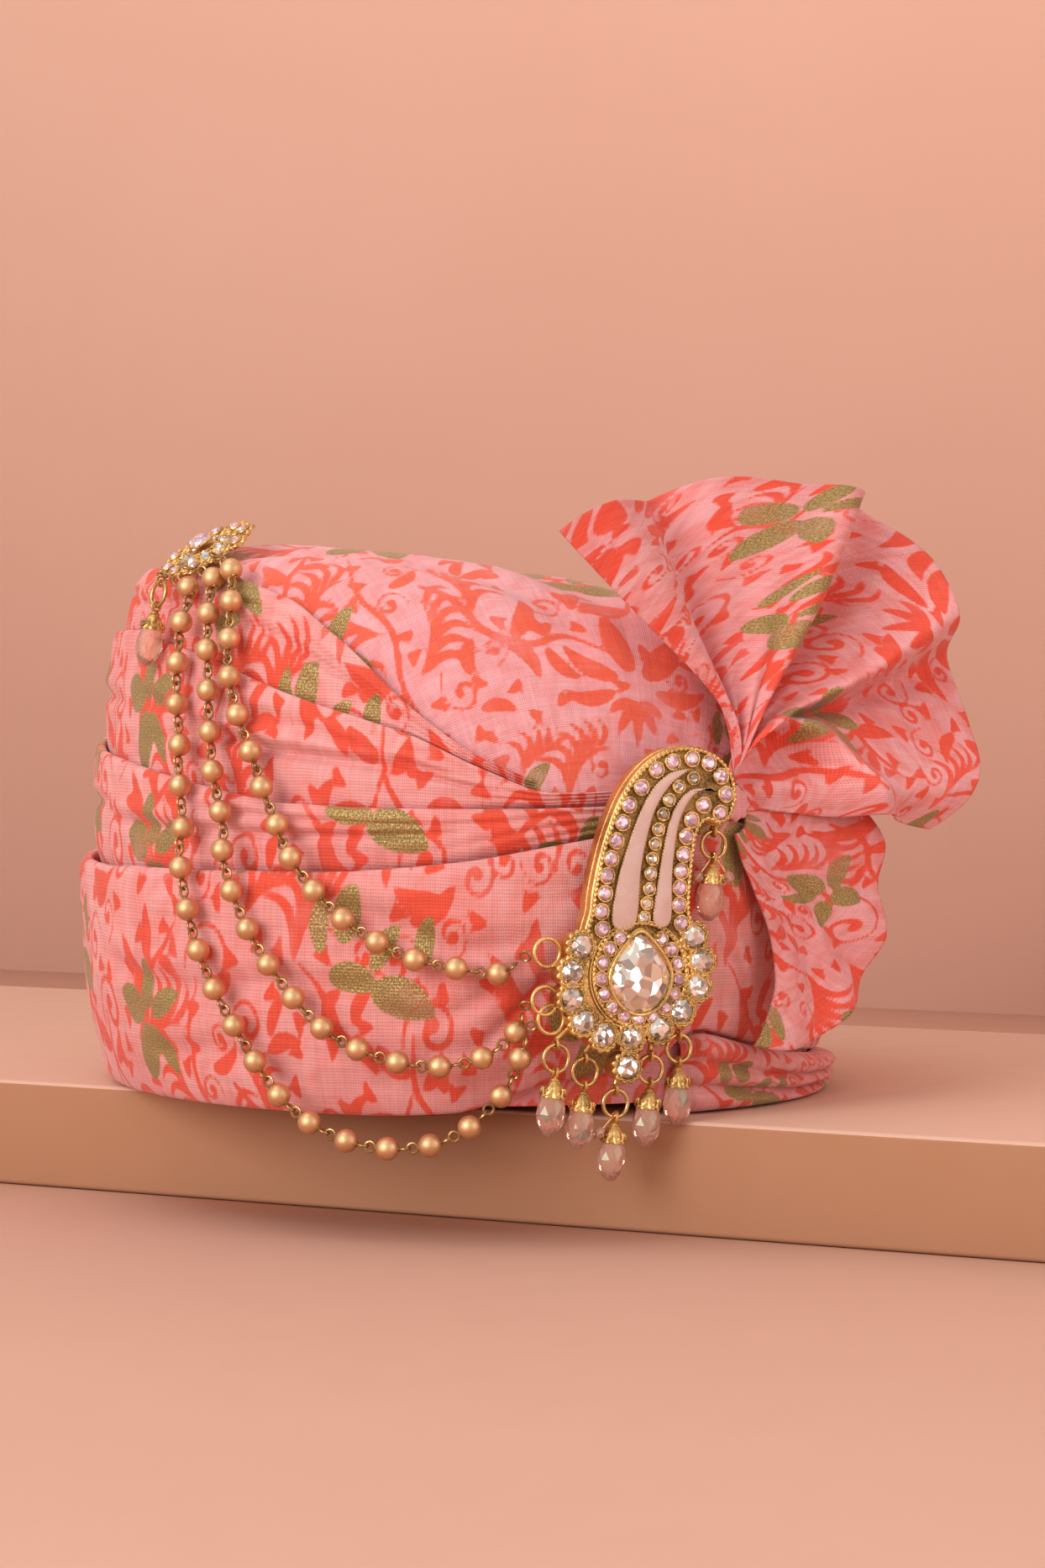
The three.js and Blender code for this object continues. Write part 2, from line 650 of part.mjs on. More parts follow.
function fanKnot() {
  const profile = [[0, 0], [0.6, 0], [0.95, 0.3], [0.8, 0.8], [0.4, 1], [0, 1]];
  const points = profile.map(([x, y]) => new THREE.Vector2(x * knotRadius, y * knotHeight));
  const geometry = new THREE.LatheGeometry(points, 8);
  geometry.rotateX(Math.PI / 2);
  return geometry;
}

place(turban, 'fan', fan(), pinkCloth);
place(turban, 'tail', tail(), pinkCloth);

function frameOf(plane, origin) {
  const group = new THREE.Group();
  const matrix = new THREE.Matrix4().makeBasis(plane.across, plane.up, plane.out);
  group.quaternion.setFromRotationMatrix(matrix);
  group.position.copy(origin);
  return group;
}

const knotSeat = frameOf(fanPlane, inPlane(fanPlane, fanHub, knotAcross, 0, clearance - fanStand));
place(knotSeat, 'fan_knot', fanKnot(), deepCloth);
turban.add(knotSeat);

// Kalgi: a plate that rests on the cloth at the forehead
const kalgiPlane = planeAt(kalgiFacing, kalgiLean);

function kalgiOrigin() {
  const origin = new THREE.Vector3(kalgiAcross, 0, kalgiHeight);
  let needed = -Infinity;
  for (let turn = -12; turn <= 12; turn += 2) {
    for (let height = 14; height <= 104; height += 4) {
      const cloth = clothPoint(turn, height, 0).sub(origin);
      needed = Math.max(needed, cloth.dot(kalgiPlane.out));
    }
  }
  return inPlane(kalgiPlane, origin, 0, 0, needed + kalgiStand);
}

const kalgiGroup = frameOf(kalgiPlane, kalgiOrigin());
turban.add(kalgiGroup);

function slab(points, thickness) {
  const shape = new THREE.Shape(points.map(([x, y]) => new THREE.Vector2(x, y)));
  return new THREE.ExtrudeGeometry(shape, { depth: thickness, bevelEnabled: false });
}

const circle = (x, y, radius, sides) => Array.from({ length: sides }, (_, i) => {
  const a = (2 * Math.PI * i) / sides;
  return [x + radius * Math.cos(a), y + radius * Math.sin(a)];
});

const rosettePlaces = rosetteRow.map(({ angle, reach }) => ({
  across: rosetteAcross + (rosetteWidth / 2) * reach * Math.cos(radians(angle)),
  up: rosetteUp + (rosetteHeight / 2) * reach * Math.sin(radians(angle)),
}));
const stonePlaces = [...rosettePlaces, footStone];
const stemTip = { across: 20.4, up: 47.2 };

function ringOf(radius, wire, sides, tube) {
  return new THREE.TorusGeometry(radius, wire, tube, sides);
}

// The bail of a drop's jump ring, and the short stem that joins it to the plate
function bail(drop) {
  const up = drop.up + ringRadius + bailRadius - bailWire - ringWire - clearance;
  const loop = ringOf(bailRadius, bailWire, 6, 4);
  loop.rotateY(Math.PI / 2);
  loop.translate(drop.across, up, plateThickness / 2);
  const nearest = stonePlaces.reduce((best, stone) => {
    const away = Math.hypot(stone.across - drop.across, stone.up - up);
    return away < best.away ? { away, stone } : best;
  }, { away: Infinity, stone: null });
  const fromTip = Math.hypot(stemTip.across - drop.across, stemTip.up - up);
  const root = fromTip < nearest.away ? stemTip : nearest.stone;
  const top = new THREE.Vector2(drop.across, up + bailRadius);
  const base = new THREE.Vector2(root.across, root.up);
  const reach = base.clone().sub(top);
  const stem = new THREE.CylinderGeometry(bailWire * 1.5, bailWire * 1.5, reach.length(), 4);
  stem.rotateZ(Math.atan2(reach.y, reach.x) - Math.PI / 2);
  stem.translate((top.x + base.x) / 2, (top.y + base.y) / 2, plateThickness / 2);
  return [loop, stem];
}

function sideRing({ across, up }) {
  const loop = ringOf(sideRingRadius, sideRingWire, 9, 5);
  loop.translate(across, up, plateThickness / 2);
  return loop;
}

function kalgiBody() {
  const seats = stonePlaces.map(({ across, up }) => slab(circle(across, up, largeStoneRadius + settingEdge, 8), plateThickness));
  const rosette = slab(
    circle(0, 0, 1, 16).map(([x, y]) => [
      rosetteAcross + (x * rosetteWidth) / 2,
      rosetteUp + (y * rosetteHeight) / 2,
    ]),
    plateThickness,
  );
  return joined(slab(stemOutline, plateThickness), rosette, ...seats, ...kalgiDrops.flatMap(bail), ...sideRings.map(sideRing));
}

// A round stone with a flat back, eight crown facets and a flat table
function roundStone(radius, thickness) {
  const points = [[0, 0], [radius, 0], [radius * 0.58, thickness], [0, thickness]];
  const geometry = new THREE.LatheGeometry(points.map(([x, y]) => new THREE.Vector2(x, y)), 8);
  geometry.rotateX(Math.PI / 2);
  geometry.rotateZ(Math.PI / 8);
  return geometry;
}

function pearStone() {
  const outline = Array.from({ length: 14 }, (_, i) => {
    const a = (2 * Math.PI * i) / 14 + Math.PI / 2;
    const taper = 1 - 0.42 * Math.max(Math.sin(a), 0) ** 1.6;
    const lift = Math.sin(a) > 0 ? 0.16 * Math.sin(a) ** 3 : 0;
    return [(Math.cos(a) * taper * pearWidth) / 2, ((Math.sin(a) + lift) * pearLength) / 2.16];
  });
  const ring = (share, z) => outline.map(([x, y]) => new THREE.Vector3(x * share, y * share, z));
  const rings = [ring(1, 0), ring(1, pearThickness * 0.3), ring(0.56, pearThickness)];
  return capped(rings, new THREE.Vector3(0, 0, 0), new THREE.Vector3(0, 0, pearThickness));
}

const face = plateThickness + clearance;
place(kalgiGroup, 'kalgi_body', kalgiBody(), gold);
place(kalgiGroup, 'enamel_left', slab(enamelLeft, enamelThickness), enamel).position.z = face;
place(kalgiGroup, 'enamel_right', slab(enamelRight, enamelThickness), enamel).position.z = face;
const pear = place(kalgiGroup, 'pear_stone', pearStone(), clearStone);
pear.position.set(pearAcross, rosetteUp, face);
stonePlaces.forEach(({ across, up }, i) => {
  const stone = place(kalgiGroup, `large_stone_${i + 1}`, roundStone(largeStoneRadius, largeStoneThickness), clearStone);
  stone.position.set(across, up, face);
});

// A drop: jump ring, then a petal cap that hangs on it by an eye, then a faceted crystal
function dropCap() {
  const eye = ringOf(eyeRadius, eyeWire, 6, 4);
  eye.rotateY(Math.PI / 2);
  eye.translate(0, -eyeRadius, 0);
  const top = -2 * eyeRadius;
  const profile = [
    [0, top + 0.2], [1.1, top - 0.6], [capRadius * 0.85, top - capHeight * 0.5],
    [capRadius, top - capHeight], [0, top - capHeight],
  ];
  const cap = new THREE.LatheGeometry(profile.reverse().map(([x, y]) => new THREE.Vector2(x, y)), 8);
  return joined(cap, eye);
}

function crystal() {
  const profile = [[0, -1], [0.3, -0.98], [1, -0.55], [0.62, 0], [0, 0]];
  const points = profile.map(([x, y]) => new THREE.Vector2(x * crystalRadius, y * crystalLength));
  const geometry = new THREE.LatheGeometry(points, 8);
  return geometry;
}

function hangDrop(parent, number, middle, lean) {
  const group = new THREE.Group();
  group.position.copy(middle);
  parent.add(group);
  place(group, `drop_ring_${number}`, ringOf(ringRadius, ringWire, 9, 5), gold);
  const hanging = new THREE.Group();
  hanging.position.y = -ringRadius + ringWire + eyeWire + clearance;
  hanging.rotation.z = radians(-lean);
  group.add(hanging);
  place(hanging, `drop_cap_${number}`, dropCap(), gold);
  const stone = place(hanging, `drop_crystal_${number}`, crystal(), peachCrystal);
  stone.position.y = -2 * eyeRadius - capHeight - clearance;
}

kalgiDrops.forEach((drop, i) => {
  hangDrop(kalgiGroup, i + 1, new THREE.Vector3(drop.across, drop.up, plateThickness / 2), drop.lean);
});

// Round brooch at the wearer's right shoulder of the crown
function broochFrame() {
  const foot = corePoint(broochTurn, broochUp);
  const out = corePoint(broochTurn, broochUp, 1).sub(foot).normalize();
  const across = new THREE.Vector3().crossVectors(new THREE.Vector3(0, 0, 1), out).normalize();
  const up = new THREE.Vector3().crossVectors(out, across);
  let needed = 0;
  for (let turn = broochTurn - 20; turn <= broochTurn + 20; turn += 2) {
    for (let share = broochUp - 0.12; share <= broochUp + 0.12; share += 0.01) {
      const away = corePoint(turn, share, clothOut(turn, share)).sub(foot);
      const rise = away.dot(out);
      if (Math.sqrt(Math.max(away.lengthSq() - rise * rise, 0)) < broochRadius) needed = Math.max(needed, rise);
    }
  }
  return { plane: { across, up, out }, seat: foot.addScaledVector(out, needed + clearance) };
}
const { plane: broochPlane, seat: broochSeat } = broochFrame();
const broochGroup = frameOf(broochPlane, broochSeat);
turban.add(broochGroup);

// The eyelet at the brooch's lower edge that the seventh drop hangs from
const broochBail = new THREE.Vector3(0, -(broochRadius + bailRadius - bailWire / 2), broochThickness / 2);

function roundBrooch() {
  const inner = broochRadius - flowerRadius;
  const profile = [[0, 0], [inner, 0], [inner, broochThickness * 0.45], [inner * 0.5, broochThickness], [0, broochThickness]];
  const disc = new THREE.LatheGeometry(profile.map(([x, y]) => new THREE.Vector2(x, y)), 20);
  disc.rotateX(Math.PI / 2);
  const flowers = Array.from({ length: flowerCount }, (_, i) => {
    const a = (2 * Math.PI * (i + 0.5)) / flowerCount;
    const away = broochRadius - flowerRadius;
    return slab(circle(away * Math.cos(a), away * Math.sin(a), flowerRadius, 7), broochThickness * 0.6);
  });
  const loop = ringOf(bailRadius, bailWire, 6, 4);
  loop.rotateY(Math.PI / 2);
  loop.translate(...broochBail.toArray());
  return joined(disc, ...flowers, loop);
}
place(broochGroup, 'round_brooch', roundBrooch(), gold);
const broochStone = place(broochGroup, 'brooch_stone', roundStone(broochStoneRadius, 2.2), pinkStone);
broochStone.position.z = broochThickness + clearance;

// The seventh drop hangs from that eyelet and lies against the cloth below it
turban.updateMatrixWorld(true);
const bailMiddle = broochGroup.localToWorld(broochBail.clone());
const hang = ringRadius + bailRadius - bailWire - ringWire - clearance;
const bailTurn = (Math.atan2(bailMiddle.x, -bailMiddle.y) * 180) / Math.PI;
const dropFoot = clothPoint(bailTurn, bailMiddle.z - dropLength, crystalRadius + dropStand, chainMargin);
const dropPlane = planeAt(bailTurn, 0);
dropPlane.up = bailMiddle.clone().sub(dropFoot).normalize();
dropPlane.out = new THREE.Vector3().crossVectors(dropPlane.across, dropPlane.up);
const broochDropGroup = frameOf(dropPlane, bailMiddle.clone().addScaledVector(dropPlane.up, -hang));
turban.add(broochDropGroup);
hangDrop(broochDropGroup, 7, new THREE.Vector3(), 0);

// Bead chains: beads and the wire between them, closed into one body along a smooth route
function beadChain(points) {
  const route = new THREE.CatmullRomCurve3(points, false, 'centripetal');
  route.arcLengthDivisions = 400;
  const length = route.getLength();
  const count = Math.round(length / beadPitch) - 1;
  const pitch = length / (count + 1);
  const positions = [];
  const triangles = [];
  const rows = [];
  const addRow = (distance, radius, sides) => {
    const share = Math.min(Math.max(distance / length, 0), 1);
    const middle = route.getPointAt(share);
    const ahead = route.getTangentAt(share);
    const side = new THREE.Vector3().crossVectors(ahead, new THREE.Vector3(middle.x, middle.y, 0)).normalize();
    const over = new THREE.Vector3().crossVectors(side, ahead);
    rows.push({ start: positions.length, sides });
    for (let i = 0; i < sides; i += 1) {
      const a = (2 * Math.PI * i) / sides;
      positions.push(middle.clone().addScaledVector(side, radius * Math.cos(a)).addScaledVector(over, radius * Math.sin(a)));
    }
  };
  const wireSides = 5;
  const beadSides = 10;
  addRow(0, linkWire, wireSides);
  for (let i = 1; i <= count; i += 1) {
    const middle = i * pitch;
    const half = beadRadius * 0.98;
    addRow(middle - half, linkWire, wireSides);
    addRow(middle - half * 0.45, beadRadius * 0.96, beadSides);
    addRow(middle + half * 0.45, beadRadius * 0.96, beadSides);
    addRow(middle + half, linkWire, wireSides);
  }
  addRow(length, linkWire, wireSides);
  const wrapIndex = (row, i) => row.start + (i % row.sides);
  for (let r = 0; r < rows.length - 1; r += 1) {
    const a = rows[r];
    const b = rows[r + 1];
    if (a.sides === b.sides) {
      for (let i = 0; i < a.sides; i += 1) {
        triangles.push([wrapIndex(a, i), wrapIndex(b, i), wrapIndex(b, i + 1)]);
        triangles.push([wrapIndex(a, i), wrapIndex(b, i + 1), wrapIndex(a, i + 1)]);
      }
    } else if (a.sides < b.sides) {
      for (let i = 0; i < a.sides; i += 1) {
        triangles.push([wrapIndex(a, i), wrapIndex(b, 2 * i), wrapIndex(b, 2 * i + 1)]);
        triangles.push([wrapIndex(a, i), wrapIndex(b, 2 * i + 1), wrapIndex(a, i + 1)]);
        triangles.push([wrapIndex(a, i + 1), wrapIndex(b, 2 * i + 1), wrapIndex(b, 2 * i + 2)]);
      }
    } else {
      for (let i = 0; i < b.sides; i += 1) {
        triangles.push([wrapIndex(b, i), wrapIndex(a, 2 * i + 1), wrapIndex(a, 2 * i)]);
        triangles.push([wrapIndex(b, i), wrapIndex(b, i + 1), wrapIndex(a, 2 * i + 1)]);
        triangles.push([wrapIndex(b, i + 1), wrapIndex(a, 2 * i + 2), wrapIndex(a, 2 * i + 1)]);
      }
    }
  }
  for (const [row, flip] of [[rows[0], true], [rows[rows.length - 1], false]]) {
    for (let i = 1; i < row.sides - 1; i += 1) {
      const a = row.start;
      triangles.push(flip ? [a, a + i, a + i + 1] : [a, a + i + 1, a + i]);
    }
  }
  return geometryOf(positions, triangles);
}

turban.updateMatrixWorld(true);
chainRoutes.forEach((route, i) => {
  const a = radians(chainStarts[i]);
  const start = new THREE.Vector3(
    (broochRadius + clearance + linkWire) * Math.cos(a),
    (broochRadius + clearance + linkWire) * Math.sin(a),
    beadRadius * 1.3,
  );
  const { across, up } = sideRings[i === 0 ? 2 : 2 - i];
  const end = new THREE.Vector3(across - sideRingRadius - sideRingWire - linkWire - clearance, up, plateThickness / 2);
  const flat = new THREE.CatmullRomCurve3(route.map(([turn, height]) => new THREE.Vector3(turn, height, 0)));
  const body = flat.getSpacedPoints(route.length * 3).map(({ x: turn, y: height }) => {
    const point = clothPoint(turn, Math.max(height, chainFall), beadRadius + chainStand, chainMargin);
    point.z = height;
    return point;
  });
  const points = [broochGroup.localToWorld(start), ...body, kalgiGroup.localToWorld(end)];
  place(turban, `bead_chain_${i + 1}`, beadChain(points), mattGold);
});

export default turban;
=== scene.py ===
# A tied turban (pagri): wound printed muslin with a pleated fan and a falling end, a jewelled
# kalgi with drops at the forehead, a round brooch and three swagged chains of gold beads.
# +Z is up, the forehead faces -Y and +X is the wearer's left. Tables and lengths are in
# millimetres, and become metres where a piece gets its place. Lights are placed in metres.
import math
import bmesh
import bpy
import numpy as np
from mathutils import Matrix, Vector


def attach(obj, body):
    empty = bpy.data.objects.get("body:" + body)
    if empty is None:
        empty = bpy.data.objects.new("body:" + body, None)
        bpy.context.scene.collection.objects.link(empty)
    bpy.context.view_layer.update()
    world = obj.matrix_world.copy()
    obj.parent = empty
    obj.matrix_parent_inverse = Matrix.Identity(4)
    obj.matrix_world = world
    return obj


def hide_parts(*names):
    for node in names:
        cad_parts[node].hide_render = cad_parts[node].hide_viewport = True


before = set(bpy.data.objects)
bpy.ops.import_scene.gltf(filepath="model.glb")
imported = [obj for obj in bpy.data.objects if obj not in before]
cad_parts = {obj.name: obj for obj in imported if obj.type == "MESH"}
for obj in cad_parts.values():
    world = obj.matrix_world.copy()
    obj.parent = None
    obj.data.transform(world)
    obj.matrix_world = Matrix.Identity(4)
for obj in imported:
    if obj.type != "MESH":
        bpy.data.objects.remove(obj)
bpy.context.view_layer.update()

MM = 0.001

# Sizes of the wound body, the same as the solids have
TURBAN_WIDTH = 236
TURBAN_DEPTH = 264
TURBAN_HEIGHT = 160
TOP_FALL = 0.17
HEAD_WIDTH = 160
HEAD_DEPTH = 200
HOLLOW_HEIGHT = 134
ARCH_RISE = 11
CLEARANCE = 0.3
LOWER_PROUD = 9
MIDDLE_PROUD = 6.5
UPPER_PROUD = 5
SHOULDER_PROUD = 3.6
ROLL_PROUD = 8.5
PROUD_AT_WIDEST = LOWER_PROUD * 0.93
CORE_HALF_WIDTH = TURBAN_WIDTH / 2 - PROUD_AT_WIDEST
CORE_HALF_DEPTH = TURBAN_DEPTH / 2 - PROUD_AT_WIDEST

FAN_REACH = 100
FAN_LIFT = 14
FAN_FACING = 8
FAN_LEAN = 10
FAN_TURN = 13
FAN_HEIGHT = 91
FAN_STAND = 4.6
GATHER_RADIUS = 7.7
TAIL_REACH = 78
TAIL_START = 9
TAIL_STAND = 2.8
KNOT_ACROSS = 3
KNOT_RADIUS = 5.6
KNOT_HEIGHT = 4

KALGI_HEIGHT = 38
KALGI_ACROSS = -2.5
KALGI_FACING = 1.5
KALGI_LEAN = 1
KALGI_STAND = 0.8
PLATE_THICKNESS = 7
RING_RADIUS = 3.9
RING_WIRE = 0.6
BAIL_RADIUS = 1.5
BAIL_WIRE = 0.5
EYE_RADIUS = 1.4
EYE_WIRE = 0.45
CAP_HEIGHT = 6
CRYSTAL_LENGTH = 10.5
CRYSTAL_RADIUS = 4.2
SIDE_RING_RADIUS = 4
SIDE_RING_WIRE = 0.6

BEAD_RADIUS = 3.5
BEAD_PITCH = 12.4
LINK_WIRE = 0.7
CHAIN_STAND = 1.2
CHAIN_MARGIN = 0.035
CHAIN_FALL = 24
BROOCH_RADIUS = 17
BROOCH_THICKNESS = 4
BROOCH_TURN = -78
BROOCH_UP = 0.765

# The meridian of the wound core: way up, then reach and height as shares of its size
CORE_PROFILE = np.array([
    (0.0, 0.962, 0.0),
    (0.1, 0.99, 0.12),
    (0.2, 1.003, 0.25),
    (0.3, 1.006, 0.38),
    (0.4, 0.995, 0.51),
    (0.5, 0.982, 0.63),
    (0.6, 0.96, 0.745),
    (0.68, 0.92, 0.845),
    (0.76, 0.84, 0.925),
    (0.84, 0.665, 0.975),
    (0.92, 0.355, 0.995),
    (1.0, 0.0, 1.0),
])

# The hollow for the head, the same way
HOLLOW_PROFILE = np.array([
    (0.0, 1.0, 0.0),
    (0.3, 1.0, 0.35),
    (0.55, 0.95, 0.65),
    (0.75, 0.82, 0.86),
    (0.9, 0.5, 0.97),
    (1.0, 0.0, 1.0),
])

# Edges between the wraps round the head:
# turn, arch, top of the rolls, of the lower, middle, upper and shoulder wraps, and fullness
WRAP_EDGES = np.array([
    (-180, 0.0, 0.004, 0.36, 0.52, 0.64, 0.66, 0.8),
    (-130, 0.0, 0.004, 0.34, 0.51, 0.65, 0.74, 0.9),
    (-88, 0.0, 0.004, 0.327, 0.47, 0.65, 0.745, 1.0),
    (-66, 0.0, 0.004, 0.334, 0.447, 0.62, 0.735, 1.0),
    (-50, 0.0, 0.004, 0.336, 0.425, 0.58, 0.7, 1.0),
    (-38, 0.0, 0.004, 0.34, 0.423, 0.553, 0.635, 1.0),
    (-30, 0.0, 0.006, 0.348, 0.427, 0.53, 0.57, 1.0),
    (-22, 0.1, 0.012, 0.36, 0.43, 0.492, 0.51, 1.0),
    (-13, 0.75, 0.052, 0.38, 0.435, 0.458, 0.475, 0.75),
    (-4, 1.0, 0.069, 0.4, 0.443, 0.465, 0.475, 0.6),
    (3, 0.6, 0.07, 0.415, 0.452, 0.475, 0.485, 0.65),
    (9, 0.1, 0.13, 0.43, 0.462, 0.486, 0.496, 0.9),
    (14, 0.0, 0.12, 0.43, 0.465, 0.492, 0.502, 1.0),
    (20, 0.0, 0.103, 0.42, 0.47, 0.502, 0.512, 0.7),
    (30, 0.0, 0.085, 0.4, 0.475, 0.53, 0.54, 0.55),
    (45, 0.0, 0.068, 0.38, 0.48, 0.57, 0.58, 0.6),
    (90, 0.0, 0.045, 0.36, 0.5, 0.62, 0.63, 0.75),
    (180, 0.0, 0.004, 0.36, 0.52, 0.64, 0.66, 0.8),
])
ARCH, ROLL, LOWER, MIDDLE, UPPER, SHOULDER, FULL = range(1, 8)

# The fan's folds round its knot: angle in its own plane, and lift as a share of its size
FAN_FOLDS = np.array([
    (-8, 0.3),
    (0, 0.75),
    (8, 0.3),
    (19, -0.15),
    (25, -0.45),
    (31, 0.75),
    (38, 0.4),
    (46, 0.0),
    (54, -0.55),
    (60, 0.9),
    (68, 0.62),
    (77, 0.3),
    (87, -0.1),
    (96, -0.6),
    (104, -0.05),
    (113, 0.4),
    (125, 0.25),
])

# The fan's outline: angle, and reach as a share of its size
FAN_RIM = np.array([
    (-8, 0.72),
    (-2, 0.85),
    (4.5, 0.93),
    (12, 0.95),
    (20, 0.965),
    (31, 1.04),
    (40, 1.1),
    (50, 1.09),
    (60, 1.08),
    (72, 1.0),
    (86, 0.97),
    (100, 0.915),
    (111, 0.92),
    (125, 0.93),
])

# The tail: angle, reach as a share of its size, and how far it keeps to the fan's plane
TAIL_FOLDS = np.array([
    (-88, 0.9, 0.25),
    (-76, 0.97, 0.7),
    (-66, 1.0, 0.4),
    (-56, 0.99, 0.85),
    (-46, 0.95, 0.5),
    (-36, 0.9, 1.0),
    (-24, 0.82, 0.62),
    (-12, 0.76, 1.0),
    (2, 0.6, 0.85),
])


# Shared shape functions

def smooth_value(table, column, at):
    """A smooth value of one column of a table, read at places along its first column."""
    keys = table[:, 0]
    values = table[:, column]
    last = len(keys) - 1
    at = np.asarray(at, float)
    i = np.clip(np.searchsorted(keys, at, side="left") - 1, 0, last - 1)
    before = np.maximum(i - 1, 0)
    after = np.minimum(i + 2, last)
    span = keys[i + 1] - keys[i]
    t = np.clip((at - keys[i]) / span, 0, 1)
    slope_a = (values[i + 1] - values[before]) / (keys[i + 1] - keys[before]) * span
    slope_b = (values[after] - values[i]) / (keys[after] - keys[i]) * span
    t2 = t * t
    t3 = t2 * t
    return (
        (2 * t3 - 3 * t2 + 1) * values[i]
        + (t3 - 2 * t2 + t) * slope_a
        + (3 * t2 - 2 * t3) * values[i + 1]
        + (t3 - t2) * slope_b
    )


def edge_value(column, turn):
    """A column of the wraps' edges at each turn, eased so that no edge has a corner."""
    total = 0
    for share in (-2, -1, 0, 1, 2):
        near = (turn + share + 180) % 360 - 180
        total = total + np.interp(near, WRAP_EDGES[:, 0], WRAP_EDGES[:, column])
    return total / 5


def smoothstep(low, high, value):
    t = np.clip((value - low) / (high - low), 0, 1)
    return t * t * (3 - 2 * t)


def waves(x, y, scale, seed, count=7):
    """A soft uneven value from -1 to 1: sine waves in seeded directions, scale mm long."""
    rng = np.random.default_rng(seed)
    total = np.zeros(np.broadcast(x, y).shape)
    for _ in range(count):
        turn = rng.uniform(0, 2 * math.pi)
        length = scale * rng.uniform(0.7, 1.5)
        phase = rng.uniform(0, 2 * math.pi)
        total += np.sin((x * math.cos(turn) + y * math.sin(turn)) * 2 * math.pi / length + phase)
    return total / count


def oval_reach(turn, half_width, half_depth):
    """How far an oval reaches at each turn from the forehead."""
    a = np.radians(turn)
    return 1 / np.hypot(np.sin(a) / half_width, np.cos(a) / half_depth)


def run_along(points):
    """The distance along a line of points, from its first."""
    return np.concatenate([[0], np.cumsum(np.linalg.norm(np.diff(points, axis=0), axis=1))])


def core_point(turn, up, out=0.0):
    """A point on the wound core, moved out from it square to its meridian."""
    turn, up, out = np.broadcast_arrays(np.asarray(turn, float), up, out)
    a = np.radians(turn)
    half = oval_reach(turn, CORE_HALF_WIDTH, CORE_HALF_DEPTH)
    step = 0.02
    low = np.maximum(up - step, 0)
    high = np.minimum(up + step, 1)
    rise = (smooth_value(CORE_PROFILE, 2, high) - smooth_value(CORE_PROFILE, 2, low)) * TURBAN_HEIGHT
    inset = (smooth_value(CORE_PROFILE, 1, low) - smooth_value(CORE_PROFILE, 1, high)) * half
    slope = np.hypot(rise, inset)
    height = smooth_value(CORE_PROFILE, 2, up)
    level = half * smooth_value(CORE_PROFILE, 1, up) + out * rise / slope
    x = np.sin(a) * level
    y = -np.cos(a) * level
    z = TURBAN_HEIGHT * height - TOP_FALL * x * height * height + out * inset / slope
    return np.stack([x, y, z], axis=-1)


def cloth_out(turn, up):
    """How far the solids' wraps stand out of the core at a turn and a share of the way up."""
    *edges, full = (
        np.interp(turn, WRAP_EDGES[:, 0], WRAP_EDGES[:, k]) for k in range(ROLL, FULL + 1)
    )
    if up <= edges[0]:
        return max(LOWER_PROUD * full * 0.6, ROLL_PROUD * 0.8)
    wraps = (LOWER_PROUD, MIDDLE_PROUD, UPPER_PROUD, SHOULDER_PROUD)
    for low, high, proud in zip(edges, edges[1:], wraps):
        if low <= up <= high:
            return proud * full
    return 0


def cloth_point(turn, height, stand, margin=0.0):
    """A point on the outside of the cloth at a turn and a height, kept a distance off it."""
    low = 0.03
    high = 0.9
    halvings = 24
    for _ in range(halvings):
        middle = (low + high) / 2
        if core_point(turn, middle, stand)[2] < height:
            low = middle
        else:
            high = middle
    out = max(cloth_out(turn, low + share * margin) for share in (-1, -0.5, 0, 0.5, 1))
    point = core_point(turn, low, out + stand)
    point[2] = height
    return point


def plane_at(facing, lean):
    """An upright plane: its across, up and out directions."""
    f = math.radians(facing)
    e = math.radians(lean)
    out = np.array([math.sin(f) * math.cos(e), -math.cos(f) * math.cos(e), math.sin(e)])
    across = np.array([math.cos(f), math.sin(f), 0.0])
    return across, np.cross(out, across), out


def in_plane(plane, origin, across, up, out):
    across, up, out = (np.asarray(value, float)[..., None] for value in (across, up, out))
    return origin + plane[0] * across + plane[1] * up + plane[2] * out


def frame_of(plane, origin):
    """The matrix, in metres, that brings a shape made in millimetres to a plane."""
    matrix = Matrix.Identity(4)
    for column, values in enumerate((*plane, origin)):
        for row in range(3):
            matrix[row][column] = float(values[row]) * MM
    return matrix


# Print: strokes laid in one block of the pattern, which repeats over the cloth

BLOCK_WIDTH = 156
BLOCK_HEIGHT = 122
BLOCK_STEP = 0.5
RED_SCALE = 0.86
FAR_AWAY = 9.0
FIELD_REACH = 5.0
SPOT_ROOM = 3.3
SPOT_SPACING = 12
CURL_ROOM = 3.6


def leaf(x, y, length, wide, turn, bend):
    """A leaf or petal from its foot: the turn is its direction and bend bows it sideways."""
    t = np.linspace(0, 1, 9)
    a = math.radians(turn)
    along = t * length
    side = bend * length * np.sin(math.pi * t * 0.9)
    points = np.stack([
        x + along * math.cos(a) - side * math.sin(a),
        y + along * math.sin(a) + side * math.cos(a),
    ], axis=1)
    half = wide / 2 * np.sin(math.pi * t ** 0.8) ** 0.85 + 0.12
    return points, half


def curl(x, y, radius, turn, hand, turns, wide):
    """A tendril that runs in to a spiral round x, y and ends in a bud."""
    first, last = 1.6, 0.22
    t = np.linspace(0, 1, 26)
    a = math.radians(turn) + hand * t * turns * 2 * math.pi
    reach = radius * (first - (first - last) * t ** 0.62)
    points = np.stack([x + reach * np.cos(a), y + reach * np.sin(a)], axis=1)
    half = wide / 2 * (0.5 + 0.6 * t)
    half[-3:] *= 1.5
    return points, half


